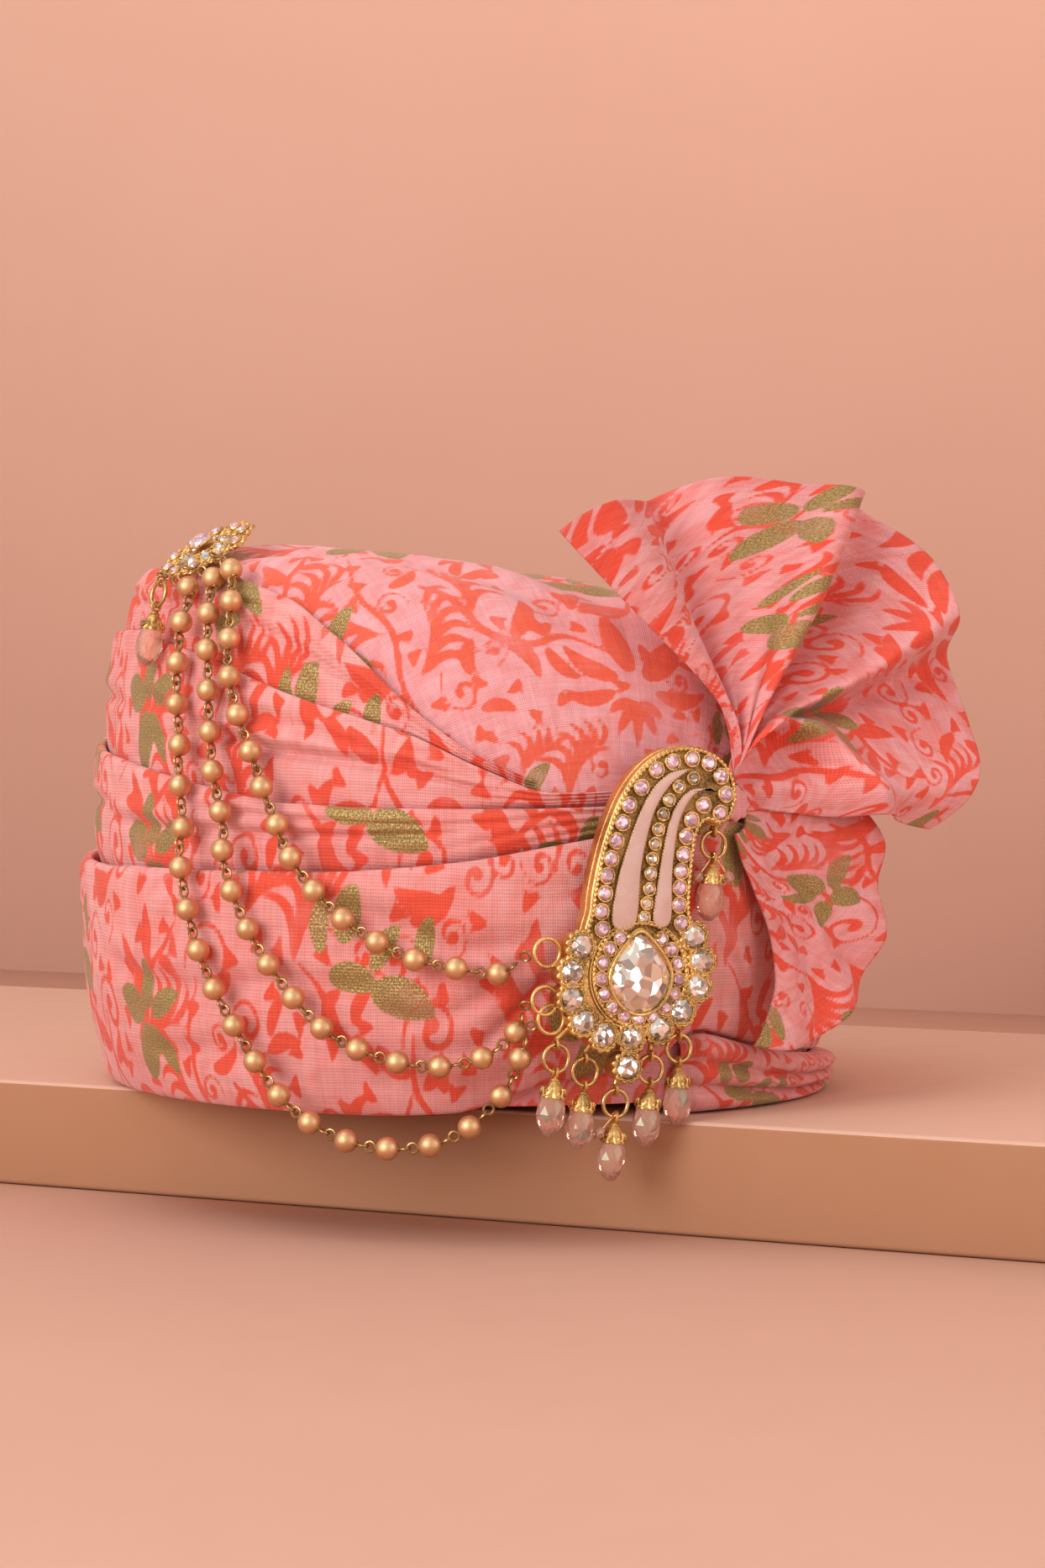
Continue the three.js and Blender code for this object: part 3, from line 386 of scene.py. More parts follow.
def stem(points, wide):
    """A smooth tapering stem through a few points."""
    points = np.asarray(points, float)
    t = np.linspace(0, len(points) - 1, 6 * (len(points) - 1) + 1)
    table = np.column_stack([np.arange(len(points)), points])
    line = np.stack([smooth_value(table, 1, t), smooth_value(table, 2, t)], axis=1)
    share = t / (len(points) - 1)
    half = wide / 2 * (0.35 + 0.65 * np.sin(math.pi * np.clip(share * 0.85 + 0.12, 0, 1)))
    return line, half


def spray(x, y, length, turn, spread, count, wide, bend):
    """Leaves that open like a hand from one foot."""
    leaves = []
    for i in range(count):
        share = i / (count - 1) * 2 - 1
        reach = length * (1 - 0.28 * abs(share))
        leaves.append(leaf(x, y, reach, wide, turn + share * spread / 2, bend * share))
    return leaves


def plume(x, y, length, turn, hand, count, wide):
    """A bowed stem with separate feathers along its outer side."""
    bow = 0.22 * hand
    strokes = [leaf(x, y, length, wide * 0.45, turn, bow)]
    a = math.radians(turn)
    for i in range(count):
        share = 0.02 + 0.76 * i / (count - 1)
        side = bow * length * math.sin(math.pi * share * 0.9)
        foot_x = x + share * length * math.cos(a) - side * math.sin(a)
        foot_y = y + share * length * math.sin(a) + side * math.cos(a)
        reach = length * (0.72 - 0.36 * share)
        feather = turn + hand * (96 - 58 * share)
        strokes.append(leaf(foot_x, foot_y, reach, wide * (0.62 - 0.2 * share), feather, -0.42 * hand))
    return strokes


def gold_flower(x, y, size, turn):
    """Five separate leaf shapes round an open middle."""
    shapes = []
    table = (
        (90, 0.15, 0.66, 0.42),
        (28, 0.2, 0.9, 0.34),
        (-38, 0.16, 0.95, 0.34),
        (-96, 0.16, 0.76, 0.58),
        (168, 0.2, 0.76, 0.5),
    )
    for angle, start, length, wide in table:
        a = math.radians(angle + turn)
        foot_x = x + size * start * math.cos(a)
        foot_y = y + size * start * math.sin(a)
        shapes.append(leaf(foot_x, foot_y, size * length, size * wide, angle + turn, 0.06))
    return shapes


def gold_branch(x, y, size, turn):
    """A run of broad broken patches, as woven motifs show between two folds."""
    shapes = []
    table = (
        (0.0, 0.3, 0.7, 0.3, 78),
        (0.38, 0.42, 0.66, 0.42, 62),
        (0.1, 0.0, 0.84, 0.36, -14),
        (0.84, 0.06, 0.66, 0.3, 44),
        (0.8, -0.22, 1.0, 0.5, -20),
        (1.62, 0.1, 0.55, 0.3, 70),
    )
    a = math.radians(turn)
    for along, side, length, wide, angle in table:
        foot_x = x + size * (along * math.cos(a) - side * math.sin(a))
        foot_y = y + size * (along * math.sin(a) + side * math.cos(a))
        shapes.append(leaf(foot_x, foot_y, size * length, size * wide, angle + turn, 0.1))
    return shapes


# The red print. Leaves: foot, length, width, direction and bend
RED_LEAVES = (
    (27, 19, 14, 5.4, 62, 0.16), (26, 6, 15, 5.0, -20, 0.2), (14, 60, 14, 5.0, 34, -0.2),
    (46, 29, 21, 6.8, 66, -0.16), (59, 29, 16, 5.2, 104, 0.2), (43, 28, 18, 5.6, -66, 0.2),
    (57, 25, 17, 5.4, -44, -0.2), (42, 66, 14, 5.2, 8, 0.16), (43, 70, 13, 4.2, 52, 0.16),
    (87, 16, 25, 9.6, 103, 0.06), (92, 15, 25, 10.4, 57, -0.1), (82, 13, 23, 7.2, 142, 0.16),
    (96, 10, 24, 6.6, 18, -0.2), (80, 8, 21, 5.8, 176, 0.2), (74, 42, 20, 7.4, 8, 0.12),
    (72, 43, 14, 4.8, 56, 0.16), (95, 61, 14, 6.4, 140, 0.12), (100, 57, 12, 4.8, 62, -0.14),
    (108, 56, 12, 4.6, 96, 0.1), (112, 47, 15, 4.6, -4, 0.2), (118, 31, 14, 4.8, 204, 0.2),
    (121, 36, 12, 4.2, 40, 0.2), (122, 94, 40, 7.0, -78, 0.16), (141, 86, 17, 5.8, 96, 0.12),
    (147, 88, 12, 4.4, -40, 0.2), (134, 16, 20, 6.2, 34, 0.2), (132, 12, 17, 5.0, -30, -0.2),
    (65, 81, 17, 6.2, -84, 0.12), (75, 71, 14, 5.4, -52, 0.12), (76, 74, 13, 4.6, 48, 0.2),
    (96, 101, 18, 6.4, 34, -0.14), (110, 106, 20, 6.6, 168, 0.14),
)
# Curls: middle, radius, first turn, hand, number of turns and width
RED_CURLS = (
    (19, 89, 8.5, 190, -1, 1.25, 2.3), (22, 14, 6.5, 120, 1, 1.2, 2.0),
    (34, 73, 6.4, 240, -1, 1.25, 2.1), (63, 46, 5.4, 200, 1, 1.2, 1.9),
    (104, 73, 7.6, 205, -1, 1.3, 2.6), (143, 34, 6.2, 150, -1, 1.2, 2.1),
    (91, 90, 6.4, 20, 1, 1.25, 2.1), (118, 112, 5.6, 120, -1, 1.2, 2.0),
)
# Plumes: foot, length, direction, hand, number of feathers and width
RED_PLUMES = (
    (8, 24, 32, 70, -1, 6, 5.2), (4, 44, 26, 108, 1, 5, 4.6), (6, 2, 26, 124, 1, 5, 4.6),
    (36, 40, 24, 112, -1, 5, 5.0), (130, 58, 32, 20, 1, 6, 5.4), (132, 51, 24, -24, -1, 5, 4.6),
    (54, 88, 30, 40, 1, 6, 5.2), (34, 100, 22, 18, 1, 5, 4.4),
)
# Stems: width and points
RED_STEMS = (
    (2.6, (4, 4), (1, 24), (7, 44), (3, 62), (9, 84)),
    (3.0, (24, 56), (32, 47), (38, 33), (52, 26), (66, 30), (78, 24)),
    (2.2, (74, 42), (84, 40), (92, 46), (97, 58)),
    (2.4, (97, 72), (97, 58), (103, 48), (111, 38), (119, 30), (123, 18)),
    (2.4, (128, 66), (136, 82), (148, 90), (156, 98)),
    (2.2, (56, 90), (64, 82), (72, 72), (84, 66)),
)


def red_strokes():
    strokes = [leaf(*row) for row in RED_LEAVES]
    strokes += [curl(*row) for row in RED_CURLS]
    strokes += [stem(points, wide) for wide, *points in RED_STEMS]
    for row in RED_PLUMES:
        strokes += plume(*row)
    return strokes + spray(88, 4, 18, -90, 130, 5, 4.2, 0.16)


def gold_strokes():
    return (
        gold_flower(26, 112, 18, 8) + gold_branch(56, 74, 19, 4)
        + gold_branch(112, 10, 18, 14) + gold_flower(138, 62, 17, -10)
    )


def block_field(strokes):
    """Distance from the edge of the strokes over the block, in mm, negative inside."""
    columns = int(BLOCK_WIDTH / BLOCK_STEP)
    rows = int(BLOCK_HEIGHT / BLOCK_STEP)
    field = np.full((rows, columns), FAR_AWAY)
    for points, half in strokes:
        for a, b, half_a, half_b in zip(points, points[1:], half, half[1:]):
            wide = max(half_a, half_b) + FIELD_REACH
            x0, y0 = np.floor((np.minimum(a, b) - wide) / BLOCK_STEP).astype(int)
            x1, y1 = np.ceil((np.maximum(a, b) + wide) / BLOCK_STEP).astype(int)
            xs = np.arange(x0, x1)
            ys = np.arange(y0, y1)
            px, py = np.meshgrid(xs * BLOCK_STEP, ys * BLOCK_STEP)
            d = b - a
            t = np.clip(((px - a[0]) * d[0] + (py - a[1]) * d[1]) / max(d @ d, 1e-9), 0, 1)
            away = np.hypot(px - a[0] - t * d[0], py - a[1] - t * d[1])
            away -= half_a + (half_b - half_a) * t
            spot = np.ix_(ys % rows, xs % columns)
            field[spot] = np.minimum(field[spot], away)
    return field


def read_field(field, x, y):
    """The field at places on the cloth, read between its steps."""
    rows, columns = field.shape
    fx = np.asarray(x) / BLOCK_STEP
    fy = np.asarray(y) / BLOCK_STEP
    ix = np.floor(fx).astype(int)
    iy = np.floor(fy).astype(int)
    tx = fx - ix
    ty = fy - iy
    x0 = ix % columns
    x1 = (ix + 1) % columns
    y0 = iy % rows
    y1 = (iy + 1) % rows
    low = field[y0, x0] * (1 - tx) + field[y0, x1] * tx
    high = field[y1, x0] * (1 - tx) + field[y1, x1] * tx
    return low * (1 - ty) + high * ty


def filling(field):
    """Small sprigs and curls for the empty spots between the larger figures."""
    strokes = []
    spots = []
    for row in range(2, BLOCK_HEIGHT, 3):
        for column in range(2, BLOCK_WIDTH, 3):
            room = read_field(field, column, row)
            crowded = any(math.hypot(column - x, row - y) < SPOT_SPACING for x, y in spots)
            if room < SPOT_ROOM or crowded:
                continue
            spots.append((column, row))
            turn = (column * 37 + row * 53) % 360
            if room > CURL_ROOM and (column + row) % 4 == 0:
                strokes.append(curl(column, row, min(room, 4.8), turn, 1, 1.2, 1.8))
            else:
                strokes.append(leaf(column, row, 7.5, 3.0, turn, 0.2))
                strokes.append(leaf(column, row, 6.0, 2.6, turn + 60, -0.2))
    return strokes


RED_FIELD = block_field(red_strokes())
RED_FIELD = np.minimum(RED_FIELD, block_field(filling(RED_FIELD)))
GOLD_FIELD = block_field(gold_strokes())


# Materials

def put(tree, socket, value):
    if isinstance(value, bpy.types.NodeSocket):
        tree.links.new(value, socket)
    else:
        socket.default_value = value


def add(tree, kind, inputs=None, **settings):
    node = tree.nodes.new(kind)
    for key, value in settings.items():
        setattr(node, key, value)
    for key, value in (inputs or {}).items():
        put(tree, node.inputs[key], value)
    return node


def calc(tree, operation, *values):
    return add(tree, "ShaderNodeMath", dict(enumerate(values)), operation=operation).outputs[0]


def times(tree, a, b):
    return calc(tree, "MULTIPLY", a, b)


def plus(tree, a, b):
    return calc(tree, "ADD", a, b)


def minus(tree, a, b):
    return calc(tree, "SUBTRACT", a, b)


def vector_calc(tree, operation, inputs):
    return add(tree, "ShaderNodeVectorMath", inputs, operation=operation).outputs[0]


def blend_colour(tree, share, a, b, kind="MIX"):
    inputs = {0: share, 6: a, 7: b}
    return add(tree, "ShaderNodeMix", inputs, data_type="RGBA", blend_type=kind).outputs[2]


def ramp(tree, value, low, high, to_low=0.0, to_high=1.0):
    inputs = {"Value": value, "From Min": low, "From Max": high, "To Min": to_low, "To Max": to_high}
    return add(tree, "ShaderNodeMapRange", inputs, interpolation_type="SMOOTHSTEP").outputs["Result"]


def noise(tree, vector, scale, detail=2.0, rough=0.5):
    inputs = {"Vector": vector, "Scale": scale, "Detail": detail, "Roughness": rough}
    return add(tree, "ShaderNodeTexNoise", inputs).outputs["Fac"]


def patchy(tree, value, light, deep):
    """A colour that drifts in patches from light to deep."""
    return blend_colour(tree, ramp(tree, value, 0.3, 0.7), light, deep)


def shaded(tree, colour, shade):
    """A colour made darker by a shade."""
    grey = add(tree, "ShaderNodeCombineColor", {"Red": shade, "Green": shade, "Blue": shade})
    return blend_colour(tree, 1.0, colour, grey.outputs[0], "MULTIPLY")


def relief(tree, strength, distance, height):
    """The normal of a relief finer than the mesh."""
    inputs = {"Strength": strength, "Distance": distance, "Height": height}
    return add(tree, "ShaderNodeBump", inputs).outputs[0]


def new_group(name, inputs, outputs):
    group = bpy.data.node_groups.new(name, "ShaderNodeTree")
    kinds = {"value": "NodeSocketFloat", "vector": "NodeSocketVector"}
    for label, kind in inputs:
        group.interface.new_socket(name=label, in_out="INPUT", socket_type=kinds[kind])
    for label, kind in outputs:
        group.interface.new_socket(name=label, in_out="OUTPUT", socket_type=kinds[kind])
    return group, group.nodes.new("NodeGroupInput").outputs, group.nodes.new("NodeGroupOutput").inputs


def use_group(tree, group, **values):
    node = add(tree, "ShaderNodeGroup", node_tree=group)
    for label, value in values.items():
        put(tree, node.inputs[label.replace("_", " ")], value)
    return node.outputs


def weave_group():
    """Open plain weave: thread is 0 in the holes, height rises over each crossing thread."""
    group, inside, outside = new_group(
        "Muslin weave",
        [("Cloth", "vector"), ("Pitch", "value")],
        [("Thread", "value"), ("Height", "value"), ("Slub", "value")],
    )
    wander = noise(group, inside["Cloth"], 70.0, 1.0)
    shift = times(group, minus(group, wander, 0.5), 0.0011)
    parts = add(group, "ShaderNodeSeparateXYZ", {"Vector": inside["Cloth"]}).outputs
    turn = calc(group, "DIVIDE", math.pi, inside["Pitch"])
    warp = calc(group, "SINE", times(group, plus(group, parts["X"], shift), turn))
    weft = calc(group, "SINE", times(group, minus(group, parts["Y"], shift), turn))
    over = times(group, times(group, warp, weft), 0.28)
    warp_size = calc(group, "ABSOLUTE", warp)
    weft_size = calc(group, "ABSOLUTE", weft)
    warp_height = times(group, warp_size, plus(group, 0.72, over))
    weft_height = times(group, weft_size, minus(group, 0.72, over))
    height = calc(group, "MAXIMUM", warp_height, weft_height)
    hole = calc(group, "MAXIMUM", warp_size, weft_size)
    put(group, outside["Thread"], ramp(group, hole, 0.35, 0.8))
    put(group, outside["Height"], height)
    slubs = []
    for scale in ((40.0, 900.0, 1.0), (900.0, 40.0, 1.0)):
        stretched = add(group, "ShaderNodeMapping", {"Vector": inside["Cloth"], "Scale": scale})
        slubs.append(noise(group, stretched.outputs[0], 1.0, 2.0))
    put(group, outside["Slub"], times(group, plus(group, *slubs), 0.5))
    return group


def ink_group():
    """Printed ink: its edge wanders with the threads and its cover is uneven."""
    group, inside, outside = new_group(
        "Printed ink",
        [("Cloth", "vector"), ("Distance", "value"), ("Soft", "value")],
        [("Cover", "value"), ("Tone", "value")],
    )
    ragged = minus(group, noise(group, inside["Cloth"], 900.0, 2.0), 0.5)
    wavy = minus(group, noise(group, inside["Cloth"], 260.0, 1.0), 0.5)
    moved = plus(group, times(group, ragged, 0.5), times(group, wavy, 0.5))
    edge = plus(group, inside["Distance"], moved)
    inked = ramp(group, calc(group, "DIVIDE", edge, inside["Soft"]), 1.0, -1.0)
    patch = ramp(group, noise(group, inside["Cloth"], 38.0, 3.0, 0.6), 0.26, 0.5, 0.62, 1.0)
    put(group, outside["Cover"], times(group, inked, patch))
    put(group, outside["Tone"], noise(group, inside["Cloth"], 120.0, 3.0, 0.6))
    return group


def wear_group():
    """Plated metal: where it is tarnished, and the fine pits of the casting."""
    group, inside, outside = new_group(
        "Plated wear",
        [("Place", "vector"), ("Amount", "value")],
        [("Tarnish", "value"), ("Grain", "value"), ("Pits", "value")],
    )
    broad = noise(group, inside["Place"], 130.0, 3.0, 0.6)
    fine = noise(group, inside["Place"], 1500.0, 3.0, 0.65)
    both = plus(group, times(group, broad, 0.6), times(group, fine, 0.4))
    dark = ramp(group, both, 0.42, 0.66)
    put(group, outside["Tarnish"], times(group, dark, inside["Amount"]))
    put(group, outside["Grain"], fine)
    put(group, outside["Pits"], noise(group, inside["Place"], 4200.0, 2.0))
    return group


def facet_group():
    """Inner facets of a foil backed stone: a tilt for each, and a painted glint, bright or dim."""
    group, inside, outside = new_group(
        "Inner facets",
        [("Place", "vector"), ("Count", "value"), ("Tilt", "value")],
        [("Normal", "vector"), ("Tone", "value")],
    )
    cells = add(group, "ShaderNodeTexVoronoi", {"Vector": inside["Place"], "Scale": inside["Count"]})
    around = vector_calc(group, "SUBTRACT", {0: cells.outputs["Color"], 1: (0.5, 0.5, 0.5)})
    tilt = vector_calc(group, "SCALE", {0: around, "Scale": inside["Tilt"]})
    surface = group.nodes.new("ShaderNodeNewGeometry")
    moved = vector_calc(group, "ADD", {0: surface.outputs["Normal"], 1: tilt})
    put(group, outside["Normal"], vector_calc(group, "NORMALIZE", {0: moved}))
    parts = add(group, "ShaderNodeSeparateColor", {"Color": cells.outputs["Color"]}).outputs
    put(group, outside["Tone"], parts["Red"])
    return group


WEAVE = weave_group()
INK = ink_group()
WEAR = wear_group()
FACETS = facet_group()


def new_material(name, **constants):
    material = bpy.data.materials.new(name)
    material.use_nodes = True
    tree = material.node_tree
    shader = tree.nodes["Principled BSDF"]
    for label, value in constants.items():
        shader.inputs[label.replace("_", " ")].default_value = value
    return material, tree, shader.inputs


def object_place(tree):
    return tree.nodes.new("ShaderNodeTexCoord").outputs["Object"]


def cloth_place(tree):
    return add(tree, "ShaderNodeUVMap", uv_map="cloth").outputs["UV"]


def attribute(tree, name):
    return add(tree, "ShaderNodeAttribute", attribute_name=name).outputs["Fac"]


def printed_muslin(name, light, deep, ink, thin_ink, ghost_strength):
    """Open pink muslin with an orange red block print and woven gold motifs."""
    material, tree, surface = new_material(
        name, Sheen_Weight=0.22, Sheen_Roughness=0.4, Specular_IOR_Level=0.25,
    )
    cloth = cloth_place(tree)
    weave = use_group(tree, WEAVE, Cloth=cloth, Pitch=0.00072)
    ghost, red_ink, gold_ink = (
        use_group(tree, INK, Cloth=cloth, Distance=attribute(tree, label), Soft=soft)
        for label, soft in (("ghost", 1.6), ("red", 0.35), ("gold", 0.3))
    )
    pink = patchy(tree, noise(tree, cloth, 14.0, 3.0, 0.6), light, deep)
    pink = blend_colour(tree, times(tree, ghost["Cover"], ghost_strength), pink, (0.78, 0.17, 0.14, 1))
    red = blend_colour(tree, red_ink["Tone"], ink, thin_ink)
    printed = blend_colour(tree, times(tree, red_ink["Cover"], 0.93), pink, red)
    slub = ramp(tree, weave["Slub"], 0.35, 0.65, 0.9, 1.06)
    # The slubs vary the threads' own tone; the darker holes between threads are painted shade
    shade = times(tree, slub, ramp(tree, weave["Thread"], 0.0, 1.0, 0.7, 1.0))
    printed = shaded(tree, printed, shade)
    speck = noise(tree, cloth, 1700.0, 3.0, 0.7)
    fleck = ramp(tree, speck, 0.4, 0.62)
    gold = blend_colour(tree, fleck, (0.20, 0.13, 0.045, 1), (0.54, 0.37, 0.14, 1))
    gold_cover = times(tree, gold_ink["Cover"], ramp(tree, speck, 0.3, 0.4, 0.75, 1.0))
    put(tree, surface["Base Color"], blend_colour(tree, gold_cover, printed, gold))
    put(tree, surface["Metallic"], times(tree, gold_cover, times(tree, fleck, 0.7)))
    put(tree, surface["Roughness"], ramp(tree, gold_cover, 0.0, 1.0, 0.88, 0.46))
    crumple = noise(tree, cloth, 210.0, 3.0, 0.55)
    raised = plus(tree, weave["Height"], times(tree, crumple, 1.3))
    put(tree, surface["Normal"], relief(tree, 0.55, 0.0003, raised))
    return material


def plain_muslin(name, light, deep):
    """The unprinted cloth of the lining."""
    material, tree, surface = new_material(
        name, Sheen_Weight=0.2, Specular_IOR_Level=0.25, Roughness=0.9,
    )
    cloth = cloth_place(tree)
    weave = use_group(tree, WEAVE, Cloth=cloth, Pitch=0.00085)
    pink = patchy(tree, noise(tree, cloth, 22.0, 3.0, 0.6), light, deep)
    # The darker holes between threads are painted shade
    shade = ramp(tree, weave["Thread"], 0.0, 1.0, 0.72, 1.0)
    put(tree, surface["Base Color"], shaded(tree, pink, shade))
    raised = plus(tree, weave["Height"], noise(tree, cloth, 160.0, 3.0))
    put(tree, surface["Normal"], relief(tree, 0.5, 0.0003, raised))
    return material


def plated(name, bright, dark, amount, rough_low, rough_high, pit_depth):
    """Gold plate with tarnish in patches and a cast grain."""
    material, tree, surface = new_material(name, Metallic=1.0)
    wear = use_group(tree, WEAR, Place=object_place(tree), Amount=amount)
    put(tree, surface["Base Color"], blend_colour(tree, wear["Tarnish"], bright, dark))
    put(tree, surface["Roughness"], ramp(tree, wear["Grain"], 0.3, 0.7, rough_low, rough_high))
    raised = plus(tree, wear["Grain"], times(tree, wear["Pits"], 0.6))
    put(tree, surface["Normal"], relief(tree, 0.6, pit_depth, raised))
    return material


def foiled_stone(name, bright, dim, count, tilt, metallic, rough):
    """A foil backed stone: smooth on top, each inner facet painted with a bright or dim glint."""
    material, tree, surface = new_material(
        name, Metallic=metallic, Roughness=rough, Coat_Weight=1.0, Coat_Roughness=0.02, Coat_IOR=1.55,
    )
    facets = use_group(tree, FACETS, Place=object_place(tree), Count=count, Tilt=tilt)
    # Painted glints: each inner facet's colour is set bright or dim
    tone = ramp(tree, facets["Tone"], 0.1, 0.75)
    put(tree, surface["Base Color"], blend_colour(tree, tone, dim, bright))
    put(tree, surface["Normal"], facets["Normal"])
    return material


def clear_crystal(name, tint):
    """A faceted glass drop with the pale sheen of a coated bead."""
    material, tree, surface = new_material(
        name, Transmission_Weight=0.8, IOR=1.5, Metallic=0.0,
        Coat_Weight=0.2, Coat_Roughness=0.03, Thin_Film_Thickness=420.0, Thin_Film_IOR=1.6,
    )
    place = object_place(tree)
    cloud = noise(tree, place, 220.0, 2.0)
    put(tree, surface["Base Color"], patchy(tree, cloud, tint, (1.0, 0.74, 0.64, 1)))
    scratch = noise(tree, place, 2600.0, 2.0)
    put(tree, surface["Roughness"], ramp(tree, scratch, 0.45, 0.8, 0.02, 0.12))
    return material


def glossy_enamel(name, light, deep):
    """Enamel under a clear gloss, its tone a little cloudy."""
    material, tree, surface = new_material(
        name, Coat_Weight=0.6, Coat_Roughness=0.06, Specular_IOR_Level=0.5,
    )
    place = object_place(tree)
    tone = noise(tree, place, 160.0, 3.0)
    put(tree, surface["Base Color"], patchy(tree, tone, light, deep))
    put(tree, surface["Roughness"], ramp(tree, noise(tree, place, 900.0), 0.3, 0.7, 0.2, 0.34))
    put(tree, surface["Normal"], relief(tree, 0.25, 0.0001, tone))
    return material


def plain_stage(name, light, deep):
    material, tree, surface = new_material(name, Roughness=0.75, Specular_IOR_Level=0.3)
    place = object_place(tree)
    put(tree, surface["Base Color"], patchy(tree, noise(tree, place, 5.0, 3.0), light, deep))
    put(tree, surface["Roughness"], ramp(tree, noise(tree, place, 60.0), 0.3, 0.7, 0.7, 0.85))
    return material


CROWN_MUSLIN = printed_muslin(
    "crown_muslin", (0.85, 0.41, 0.44, 1), (0.80, 0.33, 0.36, 1),
    (0.82, 0.085, 0.035, 1), (0.82, 0.15, 0.08, 1), 0.3,
)
WRAP_MUSLIN = printed_muslin(
    "wrap_muslin", (0.81, 0.375, 0.37, 1), (0.76, 0.30, 0.29, 1),
    (0.76, 0.06, 0.02, 1), (0.75, 0.09, 0.045, 1), 0.34,
)
FAN_MUSLIN = printed_muslin(
    "fan_muslin", (0.86, 0.415, 0.43, 1), (0.81, 0.32, 0.335, 1),
    (0.84, 0.058, 0.022, 1), (0.82, 0.10, 0.05, 1), 0.45,
)
LINING_MUSLIN = plain_muslin("lining_muslin", (0.78, 0.35, 0.38, 1), (0.72, 0.28, 0.31, 1))
ANTIQUE_GOLD = plated(
    "antique_gold", (0.83, 0.56, 0.22, 1), (0.30, 0.16, 0.05, 1), 0.75, 0.24, 0.5, 0.00012,
)
CHAIN_WIRE = plated("chain_wire", (0.46, 0.29, 0.12, 1), (0.18, 0.10, 0.04, 1), 0.7, 0.28, 0.5, 0.00005)
WIRE_GOLD = plated("wire_gold", (0.72, 0.48, 0.19, 1), (0.30, 0.18, 0.07, 1), 0.7, 0.22, 0.44, 0.00005)
BEAD_GOLD = plated("bead_gold", (0.78, 0.48, 0.26, 1), (0.54, 0.31, 0.15, 1), 0.5, 0.42, 0.56, 0.00003)
# The field between the kalgi's settings: dark gold as painted shade of the recess, with tarnish in patches
RECESS_SHADE_GOLD = plated("recess_shade_gold", (0.40, 0.24, 0.09, 1), (0.10, 0.05, 0.02, 1), 0.9, 0.45, 0.7, 0.0002)
PANEL_ENAMEL = glossy_enamel("pink_enamel", (0.66, 0.42, 0.36, 1), (0.60, 0.37, 0.31, 1))
# The stones' bright and dim colours are painted glints of their inner facets
CLEAR_STONE = foiled_stone(
    "clear_stone", (0.97, 0.94, 0.90, 1), (0.34, 0.30, 0.27, 1), 620.0, 0.9, 0.85, 0.06,
)
PEAR_STONE = foiled_stone(
    "pear_stone", (0.98, 0.90, 0.82, 1), (0.50, 0.40, 0.34, 1), 300.0, 0.6, 0.8, 0.05,
)
PINK_STONE = foiled_stone(
    "pink_stone", (0.86, 0.62, 0.72, 1), (0.48, 0.27, 0.36, 1), 700.0, 0.6, 0.45, 0.16,
)
WHITE_METAL = foiled_stone(
    "white_metal", (0.93, 0.92, 0.90, 1), (0.55, 0.52, 0.50, 1), 900.0, 0.4, 0.9, 0.2,
)
PEACH_CRYSTAL = clear_crystal("peach_crystal", (1.0, 0.60, 0.47, 1))
SMALL_CRYSTAL = clear_crystal("rose_crystal", (0.95, 0.52, 0.50, 1))
STAGE_WALL = plain_stage("stage_wall", (0.77, 0.48, 0.38, 1), (0.755, 0.465, 0.365, 1))
STAGE_TOP = plain_stage("stage_top", (0.67, 0.415, 0.315, 1), (0.65, 0.40, 0.305, 1))
STAGE_FLOOR = plain_stage("stage_floor", (0.83, 0.54, 0.43, 1), (0.81, 0.525, 0.415, 1))
# The ledge's front and sides: darker than its top, as painted shade where they turn from the light
STAGE_FACE_SHADE = plain_stage("stage_face_shade", (0.43, 0.21, 0.12, 1), (0.41, 0.20, 0.11, 1))


# Making pieces

def mesh_of(name, bm):
    mesh = bpy.data.meshes.new(name)
    bm.to_mesh(mesh)
    bm.free()
    return mesh


def linked(name, data):
    item = bpy.data.objects.new(name, data)
    bpy.context.scene.collection.objects.link(item)
    return item


def mesh_piece(name, mesh, material):
    piece = linked(name, mesh)
    mesh.materials.append(material)
    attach(piece, "root")
    return piece


def finish_bmesh(name, bm, material, smooth=True):
    mesh = mesh_of(name, bm)
    if smooth:
        mesh.shade_smooth()
    else:
        mesh.shade_flat()
    return mesh_piece(name, mesh, material)


def arc_table(half_width, half_depth):
    """Distance round an oval at each turn, from the forehead."""
    turns = np.linspace(-180, 180, 721)
    a = np.radians(turns)
    half = oval_reach(turns, half_width, half_depth)
    x = np.sin(a) * half
    y = -np.cos(a) * half
    steps = np.concatenate([[0], np.cumsum(np.hypot(np.diff(x), np.diff(y)))])
    return turns, steps - np.interp(0, turns, steps)


ARC_TURNS, ARC_STEPS = arc_table(TURBAN_WIDTH / 2, TURBAN_DEPTH / 2)
UP_STEPS = np.linspace(0, 1, 401)
UP_LENGTHS = run_along(core_point(-55.0, UP_STEPS, 0.0))
CLOTH_UP = 168


def round_body(turn):
    """How far round the body a turn is, in mm from the forehead."""
    return np.interp(turn, ARC_TURNS, ARC_STEPS)


def vertex_places(mesh):
    flat = np.empty(len(mesh.vertices) * 3)
    mesh.vertices.foreach_get("co", flat)
    return flat.reshape(-1, 3)


def store_cloth(mesh, cloth, fields):
    """Write the cloth's own coordinates, in metres, and the print's distances to a mesh."""
    corner = np.empty(len(mesh.loops), dtype=np.int32)
    mesh.loops.foreach_get("vertex_index", corner)
    layer = mesh.uv_layers.new(name="cloth")
    layer.data.foreach_set("uv", cloth[corner].ravel())
    for label, values in fields.items():
        store = mesh.attributes.new(label, "FLOAT", "POINT")
        store.data.foreach_set("value", values.astype(np.float32))


